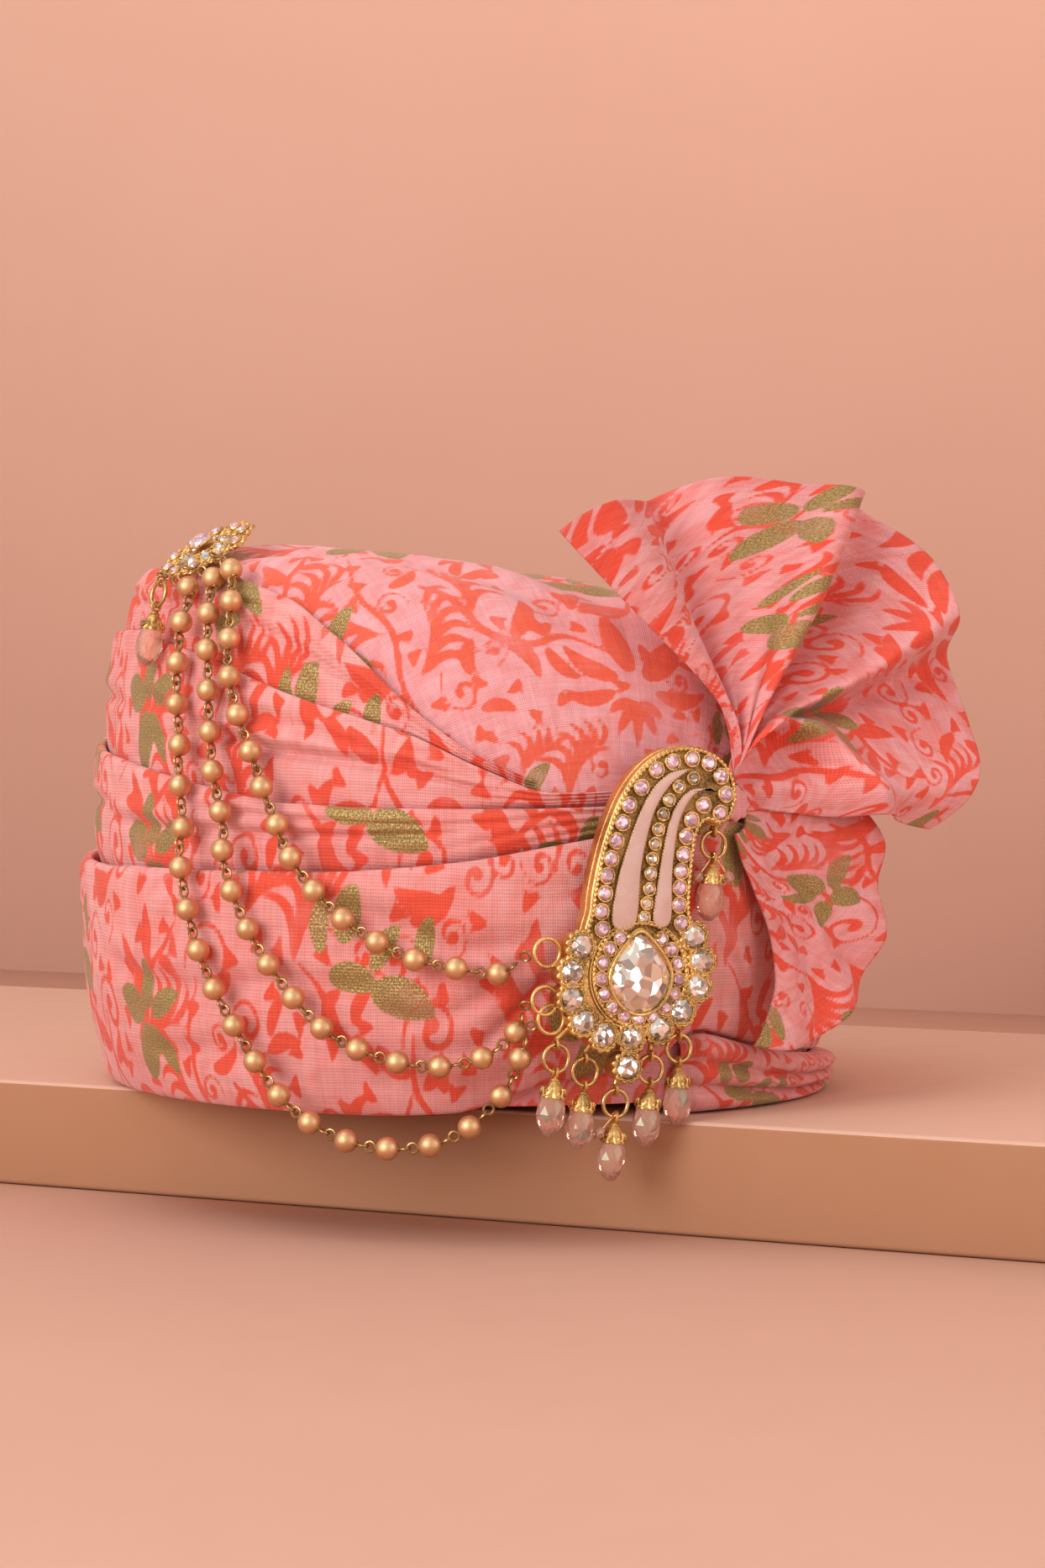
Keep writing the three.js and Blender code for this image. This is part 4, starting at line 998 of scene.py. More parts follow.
def cloth_piece(name, columns, rows, shape, material, block=(0, 0), closed=False):
    """A sheet from a grid whose points the shape moves; the shape also gives the cloth's own
    coordinates in mm, where the print is read and the weave runs."""
    bm = bmesh.new()
    bmesh.ops.create_grid(bm, x_segments=columns, y_segments=rows, size=1)
    mesh = mesh_of(name, bm)
    flat = vertex_places(mesh)
    u = (flat[:, 0] - flat[:, 0].min()) / np.ptp(flat[:, 0])
    v = (flat[:, 1] - flat[:, 1].min()) / np.ptp(flat[:, 1])
    places, cloth = shape(u, v)
    mesh.vertices.foreach_set("co", (places * MM).ravel())
    x = cloth[:, 0] + block[0]
    y = cloth[:, 1] + block[1]
    store_cloth(mesh, cloth * MM, {
        "red": read_field(RED_FIELD, x / RED_SCALE, y / RED_SCALE) * RED_SCALE,
        "gold": read_field(GOLD_FIELD, x, y),
        "ghost": read_field(RED_FIELD, -x / RED_SCALE + 61, y / RED_SCALE + 43),
    })
    if closed:
        bm = bmesh.new()
        bm.from_mesh(mesh)
        rim = [vert for vert in bm.verts if vert.is_boundary]
        bmesh.ops.remove_doubles(bm, verts=rim, dist=2e-5)
        bm.to_mesh(mesh)
        bm.free()
    mesh.update()
    mesh.shade_smooth()
    piece = mesh_piece(name, mesh, material)
    return piece


def crease(x, y, from_x, from_y, to_x, to_y, wide):
    """How near a place is to a crease that runs from one place to another, 1 on the line."""
    dx = to_x - from_x
    dy = to_y - from_y
    length = math.hypot(dx, dy)
    along = ((x - from_x) * dx + (y - from_y) * dy) / length ** 2
    away = ((x - from_x) * dy - (y - from_y) * dx) / length
    fade = 0.15
    ends = smoothstep(0, fade, along) * smoothstep(1, 1 - fade, along)
    return np.exp(-(away / wide) ** 2) * ends


def seam_fade(turn):
    """1 all round, and 0 at the back where a sheet's ends meet."""
    return smoothstep(180, 160, np.abs(turn))


# Wound body

# Sections across a wrap: share of the sheet's width, then along the wrap and out of it
LOWER_SECTION = np.array([
    (0.0, 0.02, -1.3),
    (0.07, 0.0, -0.45),
    (0.12, -0.004, 0.1),
    (0.17, 0.02, 0.42),
    (0.3, 0.16, 0.66),
    (0.45, 0.36, 0.8),
    (0.6, 0.58, 0.91),
    (0.75, 0.82, 0.98),
    (0.82, 0.93, 1.0),
    (0.87, 0.99, 0.9),
    (0.9, 1.0, 0.72),
    (0.93, 0.99, 0.55),
    (1.0, 0.88, 0.34),
])
WRAP_SECTION = np.array([
    (0.0, -0.3, 0.02),
    (0.1, -0.1, 0.3),
    (0.2, 0.04, 0.56),
    (0.35, 0.26, 0.78),
    (0.55, 0.56, 0.92),
    (0.7, 0.8, 0.99),
    (0.77, 0.92, 1.0),
    (0.83, 0.99, 0.88),
    (0.87, 1.0, 0.66),
    (0.91, 0.98, 0.46),
    (1.0, 0.8, 0.2),
])
ROLL_SECTION = np.array([
    (0.0, 0.02, -0.9),
    (0.06, 0.0, -0.2),
    (0.1, 0.0, 0.35),
    (0.17, 0.06, 0.78),
    (0.25, 0.17, 0.9),
    (0.33, 0.28, 0.66),
    (0.37, 0.32, 0.6),
    (0.43, 0.38, 0.86),
    (0.52, 0.48, 1.0),
    (0.6, 0.58, 0.82),
    (0.65, 0.63, 0.7),
    (0.71, 0.7, 0.92),
    (0.79, 0.82, 1.0),
    (0.87, 0.95, 0.8),
    (0.92, 1.0, 0.45),
    (1.0, 0.97, 0.05),
])

# Long creases of the wraps: start turn and place along, end turn and place, depth in mm, width
LOWER_CREASES = (
    (-92, 0.62, -30, 0.5, 0.9, 0.05),
    (-78, 0.32, -46, 0.18, 0.8, 0.05),
    (-44, 0.86, -10, 0.62, 1.1, 0.05),
    (-36, 0.42, -12, 0.5, 0.9, 0.045),
    (-30, 0.24, -10, 0.4, 1.0, 0.05),
    (9, 0.75, 19, 0.35, 0.8, 0.06),
    (10, 0.5, 20, 0.12, 1.0, 0.05),
    (40, 0.6, 96, 0.42, 1.0, 0.05),
    (70, 0.25, 130, 0.5, 0.9, 0.05),
    (-170, 0.5, -118, 0.66, 1.0, 0.06),
    (120, 0.7, 176, 0.5, 0.9, 0.05),
)
MIDDLE_CREASES = (
    (-98, 0.42, -20, 0.5, 1.3, 0.07),
    (-70, 0.72, -14, 0.72, 0.8, 0.05),
    (12, 0.5, 80, 0.42, 1.1, 0.07),
    (70, 0.7, 150, 0.5, 1.2, 0.07),
    (-176, 0.4, -90, 0.55, 1.2, 0.07),
)
UPPER_CREASES = (
    (-86, 0.5, -14, 0.42, 1.5, 0.06),
    (-82, 0.2, -18, 0.7, 0.9, 0.05),
    (-64, 0.74, -20, 0.6, 0.8, 0.05),
    (10, 0.55, 96, 0.5, 1.2, 0.07),
    (60, 0.35, 140, 0.66, 1.1, 0.06),
    (-174, 0.55, -84, 0.4, 1.2, 0.06),
)
SHOULDER_CREASES = (
    (-110, 0.45, -24, 0.5, 1.3, 0.07),
    (-70, 0.7, -26, 0.66, 0.7, 0.05),
    (-160, 0.5, -96, 0.6, 0.8, 0.06),
)


def creased(turn, along, table):
    """How deep the creases of a table are, each between two low swells."""
    depth = 0
    for from_turn, from_along, to_turn, to_along, deep, wide in table:
        share = (turn - from_turn) / (to_turn - from_turn)
        line = from_along + (to_along - from_along) * share
        line = line + 0.04 * np.sin(share * 7 + from_turn)
        away = (along - line) / wide
        inside = smoothstep(0, 0.2, share) * smoothstep(1, 0.8, share)
        swell = 0.45 * np.exp(-((away - 1.9) ** 2) / 2)
        depth = depth + deep * inside * (np.exp(-away * away) - swell)
    return depth


def gathered(turn, along, count, phase):
    """Pleats that draw together under the kalgi and at the fan's knot."""
    near = np.exp(-(((turn + 9) / 13) ** 2)) + 0.8 * np.exp(-(((turn - 12) / 9) ** 2))
    bent = along * count + 0.5 * np.sin(turn * 0.11 + phase)
    return near * (np.abs(np.sin(bent * math.pi)) - 0.6)


def wrap_shape(low_column, high_column, proud, section, creases, seed, turns=(-180, 180)):
    """The shape of a wrap that lies between two of the edges round the head."""
    gap = (CLEARANCE + 0.1) / TURBAN_HEIGHT

    def shape(u, v):
        turn = turns[0] + (turns[1] - turns[0]) * u
        along = smooth_value(section, 1, v)
        out = smooth_value(section, 2, v)
        low = edge_value(low_column, turn) + gap
        high = edge_value(high_column, turn) - gap
        arc = round_body(turn)
        seam = seam_fade(turn)
        face = smoothstep(0.02, 0.2, along) * smoothstep(0.3, 0.6, out) * seam
        high = high + 0.0035 * seam * waves(arc, 0 * arc, 70, seed + 1) * smoothstep(0.6, 1, along)
        up = low + (high - low) * along
        full = edge_value(FULL, turn)
        full = full * (1 + 0.07 * seam * waves(arc, up * 150, 90, seed + 2))
        fall = 1.0
        if turns[1] - turns[0] < 359:
            fall = smoothstep(0, 0.05, u) * smoothstep(1, 0.96, u) * 0.8 + 0.2
        stand = proud * full * out * fall
        stand = stand - face * (0.35 + 1.6 * creased(turn, along, creases))
        stand = stand + face * 0.75 * waves(arc * 0.5, up * TURBAN_HEIGHT, 17, seed + 3)
        stand = stand + face * 0.3 * waves(arc * 0.5, up * TURBAN_HEIGHT, 7, seed + 4)
        stand = stand + face * 1.1 * gathered(turn, along, 3.2, seed)
        places = core_point(turn, up, stand)
        places[:, 2] = np.maximum(places[:, 2], 0.25)
        return places, np.stack([arc, up * CLOTH_UP], axis=1)

    return shape


def roll_shape(turns):
    """The shape of the three small rolls at the rim."""
    def shape(u, v):
        turn = turns[0] + (turns[1] - turns[0]) * u
        arc = round_body(turn)
        drift = 0.05 * np.sin(arc / 17.0) * smoothstep(0.1, 0.3, v) * smoothstep(0.95, 0.8, v)
        along = smooth_value(ROLL_SECTION, 1, v) + drift
        out = smooth_value(ROLL_SECTION, 2, v)
        high = edge_value(ROLL, turn) - 0.002
        up = 0.006 + (high - 0.006) * np.clip(along, 0, 1)
        ends = smoothstep(0, 0.03, u) * smoothstep(1, 0.93, u) * 0.6 + 0.4
        stand = ROLL_PROUD * ends * out + 0.3 * waves(arc, v * 40, 12, 71) * smoothstep(0.1, 0.3, v)
        places = core_point(turn, up, stand)
        places[:, 2] = np.maximum(places[:, 2], 0.2)
        return places, np.stack([arc * 1.1, v * 46], axis=1)

    return shape


HUB = cloth_point(FAN_TURN, FAN_HEIGHT, FAN_STAND)


# Folds over the crown: depth in mm, from x and y, to x and y, width
CROWN_FOLDS = (
    (3.4, -88, -14, 0, -122, 7),
    (2.7, -76, 34, 12, -112, 8),
    (2.1, -60, 62, 34, -96, 9),
    (1.8, -36, 96, 58, -78, 10),
    (1.6, 70, 70, 74, -70, 9),
)


def crown_shape(u, v):
    """The crown, from under the wraps up over its top."""
    turn = -180 + 360 * u
    hidden = 0.12
    start = np.interp(0.4, UP_STEPS, UP_LENGTHS)
    end = UP_LENGTHS[-1]
    shown = start + (end - start) * (v - hidden) / (1 - hidden)
    length = np.where(v < hidden, start * v / hidden, shown)
    up = np.clip(np.interp(length, UP_LENGTHS, UP_STEPS), 0.02, 1)
    covered = smoothstep(0.0, 0.03, up - edge_value(SHOULDER, turn) - 0.005)
    x, y, z = core_point(turn, up, 0.0).T
    top = smoothstep(1.0, 0.8, up)
    soft = 1.3 * waves(x, y, 75, 11) + 0.8 * waves(x + y * 0.4, y * 0.5 - x * 0.2, 26, 12)
    soft = soft + 0.2 * waves(x, y, 9, 13)
    for deep, *line in CROWN_FOLDS:
        soft = soft - deep * crease(x, y, *line)
    away = np.hypot(x - HUB[0], z - HUB[2])
    angle = np.arctan2(z - HUB[2], x - HUB[0])
    front = smoothstep(-40, -90, y)
    pleats = np.abs(np.sin(angle * 4.5 + 0.4)) - 0.6
    soft = soft + 2.2 * pleats * np.exp(-away / 34) * front * smoothstep(6, 20, away)
    depth = -0.8 * (1 - covered) + covered * soft * (0.35 + 0.65 * top)
    spread = end - np.interp(up, UP_STEPS, UP_LENGTHS)
    a = np.radians(turn)
    cloth = np.stack([spread * np.sin(a), -spread * np.cos(a)], axis=1)
    return core_point(turn, up, depth), cloth


def hollow_point(turn, up):
    a = np.radians(turn)
    level = oval_reach(turn, HEAD_WIDTH / 2, HEAD_DEPTH / 2) * smooth_value(HOLLOW_PROFILE, 1, up)
    height = smooth_value(HOLLOW_PROFILE, 2, up)
    x = np.sin(a) * level
    z = HOLLOW_HEIGHT * height - TOP_FALL * x * height * height
    return np.stack([x, -np.cos(a) * level, z], axis=-1)


def lining_shape(u, v):
    """From the top of the hollow down its side and out under the rim."""
    turn = -180 + 360 * u
    rim = 0.78
    up = np.clip(1 - v / rim, 0, 1)
    inner = hollow_point(turn, up)
    share = np.clip((v - rim) / (1 - rim), 0, 1)[:, None]
    outer = core_point(turn, 0.0, -3.0)
    places = inner * (1 - share) + outer * share
    arch = edge_value(ARCH, turn) * ARCH_RISE
    low = smoothstep(0.25, 0, up)
    under = arch + 0.9 * np.sin(share[:, 0] * math.pi) * -0.4 + 0.5
    places[:, 2] = np.where(v < rim, places[:, 2] + arch * low, under)
    arc = round_body(turn)
    ripple = 0.7 * waves(arc, up * 120, 30, 21) + 0.5 * np.sin(up * 38 + 2 * np.sin(arc / 60))
    ripple = seam_fade(turn) * ripple
    a = np.radians(turn)
    places[:, 0] -= np.sin(a) * ripple * (v < rim) * smoothstep(0, 0.1, v)
    places[:, 1] += np.cos(a) * ripple * (v < rim) * smoothstep(0, 0.1, v)
    return places, np.stack([arc * 0.75, v * 190], axis=1)


# Fan, tail and knot

FAN_PLANE = plane_at(FAN_FACING, FAN_LEAN)


def fan_place(angle, ring, raised=1.0):
    """The fan's points by angle and by share of its reach, with its folds as high as raised."""
    reach = smooth_value(FAN_RIM, 1, angle) * FAN_REACH
    lift = smooth_value(FAN_FOLDS, 1, angle) * FAN_LIFT * raised
    lift = lift + 1.8 * waves(angle, ring * 30, 46, 36) * ring
    opening = np.sin(math.pi / 2 * np.minimum(ring * 1.25, 1))
    away = GATHER_RADIUS + (reach - GATHER_RADIUS) * ring
    away = away + 0.5 * waves(angle * 1.6, 0 * angle, 26, 31) * ring ** 3
    away = away - 0.5 * lift * np.cos(np.radians(angle)) * ring ** 2
    drawn = smoothstep(-8, 30, angle) / (1 + (away / 33) ** 3)
    sway = 2.4 * np.sin(ring * math.pi) * waves(angle, ring * 26, 44, 32)
    bent = np.radians(angle + (70 - angle) * drawn + sway)
    fine = 2.0 * np.sin(np.radians(angle) * 25) * np.exp(-away / 34) * smoothstep(0, 0.1, ring)
    fine = fine + 1.5 * waves(angle * 1.1, away * 0.5, 24, 33) * smoothstep(0.1, 0.4, ring)
    fine = fine + 0.35 * waves(angle * 1.2, away * 1.3, 9, 34) * smoothstep(0.1, 0.5, ring)
    lip_place = np.interp(angle, (-8, -2, 22, 36), (47, 43, 33, 20))
    lip = 9.0 * np.exp(-(((away - lip_place) / 6.5) ** 2)) * smoothstep(40, 24, angle)
    hollow = 5.0 * smoothstep(lip_place, lip_place - 9, away) * smoothstep(36, 20, angle)
    fine = fine + lip - hollow * smoothstep(3, 12, away)
    curl_back = -3.0 * smoothstep(0.84, 1.0, ring) * (0.5 + 0.5 * waves(angle, 0 * angle, 50, 35))
    return in_plane(
        FAN_PLANE, HUB, away * np.cos(bent), away * np.sin(bent), lift * opening + fine + curl_back,
    )


FAN_ANGLES = np.linspace(FAN_FOLDS[0, 0], FAN_FOLDS[-1, 0], 300)
FAN_LENGTHS = run_along(fan_place(FAN_ANGLES, np.full(300, 0.75), 0.6))


def fan_shape(u, v):
    angle = FAN_FOLDS[-1, 0] + (FAN_FOLDS[0, 0] - FAN_FOLDS[-1, 0]) * u
    across = -np.interp(angle, FAN_ANGLES, FAN_LENGTHS) * (0.3 + 0.7 * v) / 0.82
    return fan_place(angle, v), np.stack([across, v * FAN_REACH], axis=1)


def tail_shape(u, v):
    """The tail, which lies on the cloth near the knot and stands off it further out."""
    first = TAIL_FOLDS[0, 0] + 4
    last = TAIL_FOLDS[-1, 0]
    angle = last + (first - last) * u
    reach = smooth_value(TAIL_FOLDS, 1, angle) * TAIL_REACH
    stand = 0.6 * np.interp(angle, (-88, -40, 2), (0.4, 0.8, 0.9))
    stand = 0.4 * smooth_value(TAIL_FOLDS, 2, angle) + stand
    away = TAIL_START + (reach - TAIL_START) * v
    away = away + 0.6 * waves(angle * 1.3, 0 * angle, 24, 41) * v ** 3
    sweep = 15 * np.sin(v * math.pi) * smoothstep(-36, -84, angle)
    bent = np.radians(angle + sweep + 2.0 * np.sin(v * math.pi) * waves(angle, v * 20, 40, 42))
    flat = in_plane(FAN_PLANE, HUB, away * np.cos(bent), away * np.sin(bent), -2.0 + 0 * away)
    turn = np.degrees(np.arctan2(flat[:, 0], -flat[:, 1]))
    lying = TAIL_TABLE.lookup(turn, np.maximum(flat[:, 2], 2.0))
    lying[:, 2] = flat[:, 2]
    opening = (0.25 + 0.75 * np.sin(math.pi / 2 * v)) * stand
    share = np.clip(opening, 0, 1)[:, None]
    places = lying * (1 - share) + flat * share
    fine = 1.0 * waves(angle * 1.1, away, 20, 43) + 0.35 * waves(angle * 1.4, away, 8, 44)
    fine = fine + 1.1 * np.sin(np.radians(angle) * 26) * np.exp(-away / 24) * smoothstep(0, 0.15, v)
    places += FAN_PLANE[2] * (fine * smoothstep(0.05, 0.3, v))[:, None]
    across = np.radians(last - angle) * TAIL_REACH * 1.1 * (0.3 + 0.7 * v)
    return places, np.stack([across, v * reach], axis=1)


class ClothTable:
    """The cloth's outside over a range of turns and heights, read quickly between steps."""

    def __init__(self, turns, heights, stand):
        self.turns = turns
        self.heights = heights
        self.places = np.array([[cloth_point(t, h, stand) for h in heights] for t in turns])

    def lookup(self, turn, height):
        i, s = self.between(turn, self.turns)
        j, t = self.between(height, self.heights)
        p = self.places
        low = p[i, j] * (1 - t) + p[i, j + 1] * t
        high = p[i + 1, j] * (1 - t) + p[i + 1, j + 1] * t
        return low * (1 - s) + high * s

    @staticmethod
    def between(value, keys):
        """The key below each value, and the share of the way to the next."""
        place = np.interp(value, keys, np.arange(len(keys)))
        place = np.clip(place, 0, len(keys) - 1.001)
        key = place.astype(int)
        return key, (place - key)[:, None]


TAIL_TABLE = ClothTable(np.arange(0, 66, 2.0), np.arange(2, 100, 3.0), TAIL_STAND)

crown_cloth = cloth_piece("crown_cloth", 530, 184, crown_shape, CROWN_MUSLIN, (70, 30), True)
lower_cloth = cloth_piece(
    "lower_wrap_cloth", 700, 84,
    wrap_shape(ROLL, LOWER, LOWER_PROUD, LOWER_SECTION, LOWER_CREASES, 100),
    WRAP_MUSLIN, (150, 40), True,
)
middle_cloth = cloth_piece(
    "middle_wrap_cloth", 600, 36,
    wrap_shape(LOWER, MIDDLE, MIDDLE_PROUD, WRAP_SECTION, MIDDLE_CREASES, 200),
    WRAP_MUSLIN, (152, 4), True,
)
upper_cloth = cloth_piece(
    "upper_wrap_cloth", 590, 44,
    wrap_shape(MIDDLE, UPPER, UPPER_PROUD, WRAP_SECTION, UPPER_CREASES, 300),
    WRAP_MUSLIN, (160, -30), True,
)
shoulder_cloth = cloth_piece(
    "shoulder_wrap_cloth", 300, 40,
    wrap_shape(UPPER, SHOULDER, SHOULDER_PROUD, WRAP_SECTION, SHOULDER_CREASES, 400, (-169, -13)),
    WRAP_MUSLIN, (168, -10),
)
roll_cloth = cloth_piece("rim_roll_cloth", 230, 60, roll_shape((7.5, 109)), WRAP_MUSLIN, (20, 60))
fan_cloth = cloth_piece("fan_cloth", 260, 96, fan_shape, FAN_MUSLIN, (18, 24))
tail_cloth = cloth_piece("tail_cloth", 130, 72, tail_shape, FAN_MUSLIN, (96, 20))
head_lining = cloth_piece("head_lining", 200, 60, lining_shape, LINING_MUSLIN, (0, 0), True)


# The thickness of the cloth, where its edge shows
for piece in (fan_cloth, tail_cloth):
    wall = piece.modifiers.new("wall", "SOLIDIFY")
    wall.thickness = 0.7 * MM
    wall.offset = 0


def knot_piece():
    """The gather that the fan and the tail come out of, a small pleated boss."""
    bm = bmesh.new()
    bmesh.ops.create_uvsphere(bm, u_segments=64, v_segments=24, radius=1)
    for vert in bm.verts:
        x, y, z = vert.co
        reach = math.hypot(x, y)
        angle = math.atan2(y, x)
        pleat = 1 + 0.07 * reach * math.sin(angle * 9 + 3 * reach)
        size = KNOT_RADIUS * 0.93 * pleat
        vert.co = (x * size, y * size, (z * 0.5 + 0.5) * KNOT_HEIGHT * (1 - 0.25 * (1 - reach)))
    seat = in_plane(FAN_PLANE, HUB, KNOT_ACROSS, 0, CLEARANCE - FAN_STAND)
    bmesh.ops.transform(bm, matrix=frame_of(FAN_PLANE, seat), verts=bm.verts)
    piece = finish_bmesh("fan_knot_cloth", bm, FAN_MUSLIN)
    count = len(piece.data.vertices)
    fields = {"red": np.full(count, 3.0), "gold": np.full(count, 9.0), "ghost": np.full(count, 4.0)}
    store_cloth(piece.data, vertex_places(piece.data)[:, [0, 2]], fields)
    return piece


fan_knot_cloth = knot_piece()

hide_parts("crown")
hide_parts("lower_wrap")
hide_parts("middle_wrap")
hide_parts("upper_wrap")
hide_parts("shoulder_wrap")
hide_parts("rim_roll")
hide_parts("fan")
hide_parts("tail")
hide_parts("fan_knot")


# Shapes shared by the jewellery, each made in millimetres in its own plane

def added(bm, part):
    """Add one bmesh to another."""
    mesh = mesh_of("part", part)
    bm.from_mesh(mesh)
    bpy.data.meshes.remove(mesh)


def circle(x, y, radius, count, start=0.0):
    a = np.radians(start) + np.linspace(0, 2 * math.pi, count, endpoint=False)
    return np.stack([x + radius * np.cos(a), y + radius * np.sin(a)], axis=1)


def polar(reach, angle, height):
    """A place by its reach, its angle in radians and its height."""
    return reach * math.cos(angle), reach * math.sin(angle), height


def read_columns(at, run, points):
    """Places a given way along a line of points."""
    return np.stack([np.interp(at, run, column) for column in points.T], axis=1)


def spaced(points, step, closed=True):
    """Places a step apart on a smooth curve through the points of a table."""
    points = np.asarray(points, float)
    last = len(points)
    if closed:
        points = np.concatenate([points[-2:], points, points[:3]])
        ends = (2, last + 2)
    else:
        ends = (0, last - 1)
    table = np.column_stack([np.arange(len(points)), points])
    t = np.linspace(ends[0], ends[1], 1500)
    dense = np.stack([smooth_value(table, k + 1, t) for k in range(points.shape[1])], axis=1)
    run = run_along(dense)
    count = max(3, round(run[-1] / step))
    return read_columns(np.linspace(0, run[-1], count, endpoint=not closed), run, dense)


def inset(loop, distance):
    """A closed loop moved in from its own outline."""
    ahead = np.roll(loop, -1, axis=0) - np.roll(loop, 1, axis=0)
    ahead /= np.linalg.norm(ahead, axis=1)[:, None]
    following = np.roll(loop, -1, axis=0)
    area = np.sum(loop[:, 0] * following[:, 1] - following[:, 0] * loop[:, 1])
    return loop + np.stack([-ahead[:, 1], ahead[:, 0]], axis=1) * math.copysign(distance, area)


def level(loop, height):
    return np.column_stack([loop, np.full(len(loop), float(height))])


def round_part(bm, around, rows, place):
    """Add a skin that closes round itself; place gives its points by angle and row."""
    part = bmesh.new()
    bmesh.ops.create_grid(part, x_segments=around, y_segments=rows, size=1)
    for vert in part.verts:
        step = round((vert.co.x + 1) / 2 * around) % around
        vert.co = place(2 * math.pi * step / around, round((vert.co.y + 1) / 2 * rows))
    bmesh.ops.remove_doubles(part, verts=part.verts, dist=1e-4)
    ends = [edge for edge in part.edges if edge.is_boundary]
    bmesh.ops.holes_fill(part, edges=ends, sides=0)
    bmesh.ops.recalc_face_normals(part, faces=part.faces)
    added(bm, part)


def wire(bm, points, radius, sides=8, closed=False, up=(0, 0, 1), rope=0.0, pitch=2.0):
    """A wire along points; rope gives it the look of two twisted strands."""
    points = np.asarray(points, float)
    count = len(points)
    if closed:
        ahead = np.roll(points, -1, axis=0) - np.roll(points, 1, axis=0)
        steps = np.linalg.norm(np.roll(points, -1, axis=0) - points, axis=1)
        pitch = steps.sum() / max(1, round(steps.sum() / pitch))
    else:
        ahead = np.gradient(points, axis=0)
        steps = np.linalg.norm(np.diff(points, axis=0), axis=1)
    ahead /= np.linalg.norm(ahead, axis=1)[:, None]
    side = np.cross(ahead, np.asarray(up, float))
    side /= np.maximum(np.linalg.norm(side, axis=1), 1e-9)[:, None]
    over = np.cross(ahead, side)
    run = np.concatenate([[0], np.cumsum(steps)])[:count]

    def place(a, row):
        j = row % count
        size = radius * (1 + rope * math.cos(2 * a - 2 * math.pi * run[j] / pitch))
        return points[j] + (side[j] * math.cos(a) + over[j] * math.sin(a)) * size

    round_part(bm, sides, count if closed else count - 1, place)


def ring(bm, place, radius, thick, axis=(0, 0, 1), count=28, sides=8, rope=0.0, pitch=1.0):
    turn = Vector(axis).to_track_quat("Z", "Y").to_matrix()
    middle = np.asarray(place, float)
    points = [np.array(turn @ Vector((*p, 0))) + middle for p in circle(0, 0, radius, count)]
    wire(bm, points, thick, sides, True, tuple(Vector(axis)), rope, pitch)


def grains(bm, points, radius):
    """Tiny round grains of metal."""
    for place in points:
        at = Matrix.Translation(Vector(place))
        bmesh.ops.create_icosphere(bm, subdivisions=1, radius=radius, matrix=at)


def plate(bm, loop, low, high, edge=0.0):
    """A plate with the outline of a loop, its upper edge eased."""
    part = bmesh.new()
    bmesh.ops.create_circle(part, cap_ends=True, segments=len(loop), radius=1)
    part.verts.ensure_lookup_table()
    for vert, (x, y) in zip(part.verts, loop):
        vert.co = (x, y, low)
    grown = bmesh.ops.extrude_face_region(part, geom=part.faces[:])["geom"]
    top = [item for item in grown if isinstance(item, bmesh.types.BMVert)]
    bmesh.ops.translate(part, verts=top, vec=(0, 0, high - low))
    bmesh.ops.recalc_face_normals(part, faces=part.faces)
    if part.calc_volume(signed=True) < 0:
        bmesh.ops.reverse_faces(part, faces=part.faces)
    if edge:
        rim = [item for item in part.edges if all(vert.co.z > high - 1e-4 for vert in item.verts)]
        bmesh.ops.bevel(
            part, geom=rim, offset=edge, segments=3, affect="EDGES", profile=0.5, material=-1,
        )
    added(bm, part)


def turned(bm, profile, count, petals=0, depth=0.0, place=(0, 0, 0)):
    """A turned shape from rows of reach, height and share of the petals' depth."""
    def spot(a, row):
        reach, height, share = profile[row]
        reach *= 1 - depth * share * (1 - abs(math.sin(a * petals / 2))) if petals else 1
        return place[0] + reach * math.cos(a), place[1] + reach * math.sin(a), place[2] + height

    round_part(bm, count, len(profile) - 1, spot)


def cut(bm, rings, place=(0, 0, 0), turn=None):
    """A cut stone: the flat facets that close round rings of corners."""
    part = bmesh.new()
    for loop in rings:
        for corner in loop:
            part.verts.new(corner)
    made = bmesh.ops.convex_hull(part, input=part.verts[:])
    spare = [item for item in made["geom_interior"] if isinstance(item, bmesh.types.BMVert)]
    bmesh.ops.delete(part, geom=spare, context="VERTS")
    bmesh.ops.dissolve_limit(part, angle_limit=0.02, verts=part.verts[:], edges=part.edges[:])
    matrix = Matrix.Translation(Vector(place))
    if turn is not None:
        matrix = matrix @ turn
    bmesh.ops.transform(part, matrix=matrix, verts=part.verts)
    added(bm, part)


def round_cut(radius, height):
    """Corners of a round stone: girdle, upper facets and flat top."""
    sides = 8
    half = 180 / sides
    return [
        level(circle(0, 0, radius * 0.96, sides * 2), 0),
        level(circle(0, 0, radius, sides * 2), height * 0.14),
        level(circle(0, 0, radius * 0.83, sides, half), height * 0.62),
        level(circle(0, 0, radius * 0.56, sides), height),
    ]


def jewel_piece(name, bm, matrix, material, slot, nodes=(), smooth=True, angle=40):
    bmesh.ops.transform(bm, matrix=matrix, verts=bm.verts)
    piece = finish_bmesh(name, bm, material, smooth)
    if smooth:
        piece.data.set_sharp_from_angle(angle=math.radians(angle))
    if nodes:
        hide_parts(*nodes)
    return piece


def stone_piece(name, bm, matrix, material, slot, nodes=()):
    """A piece whose facets stay flat."""
    return jewel_piece(name, bm, matrix, material, slot, nodes, smooth=False)


# Kalgi: a cast plate set with stones, in its own plane, across and up from the pear stone's middle

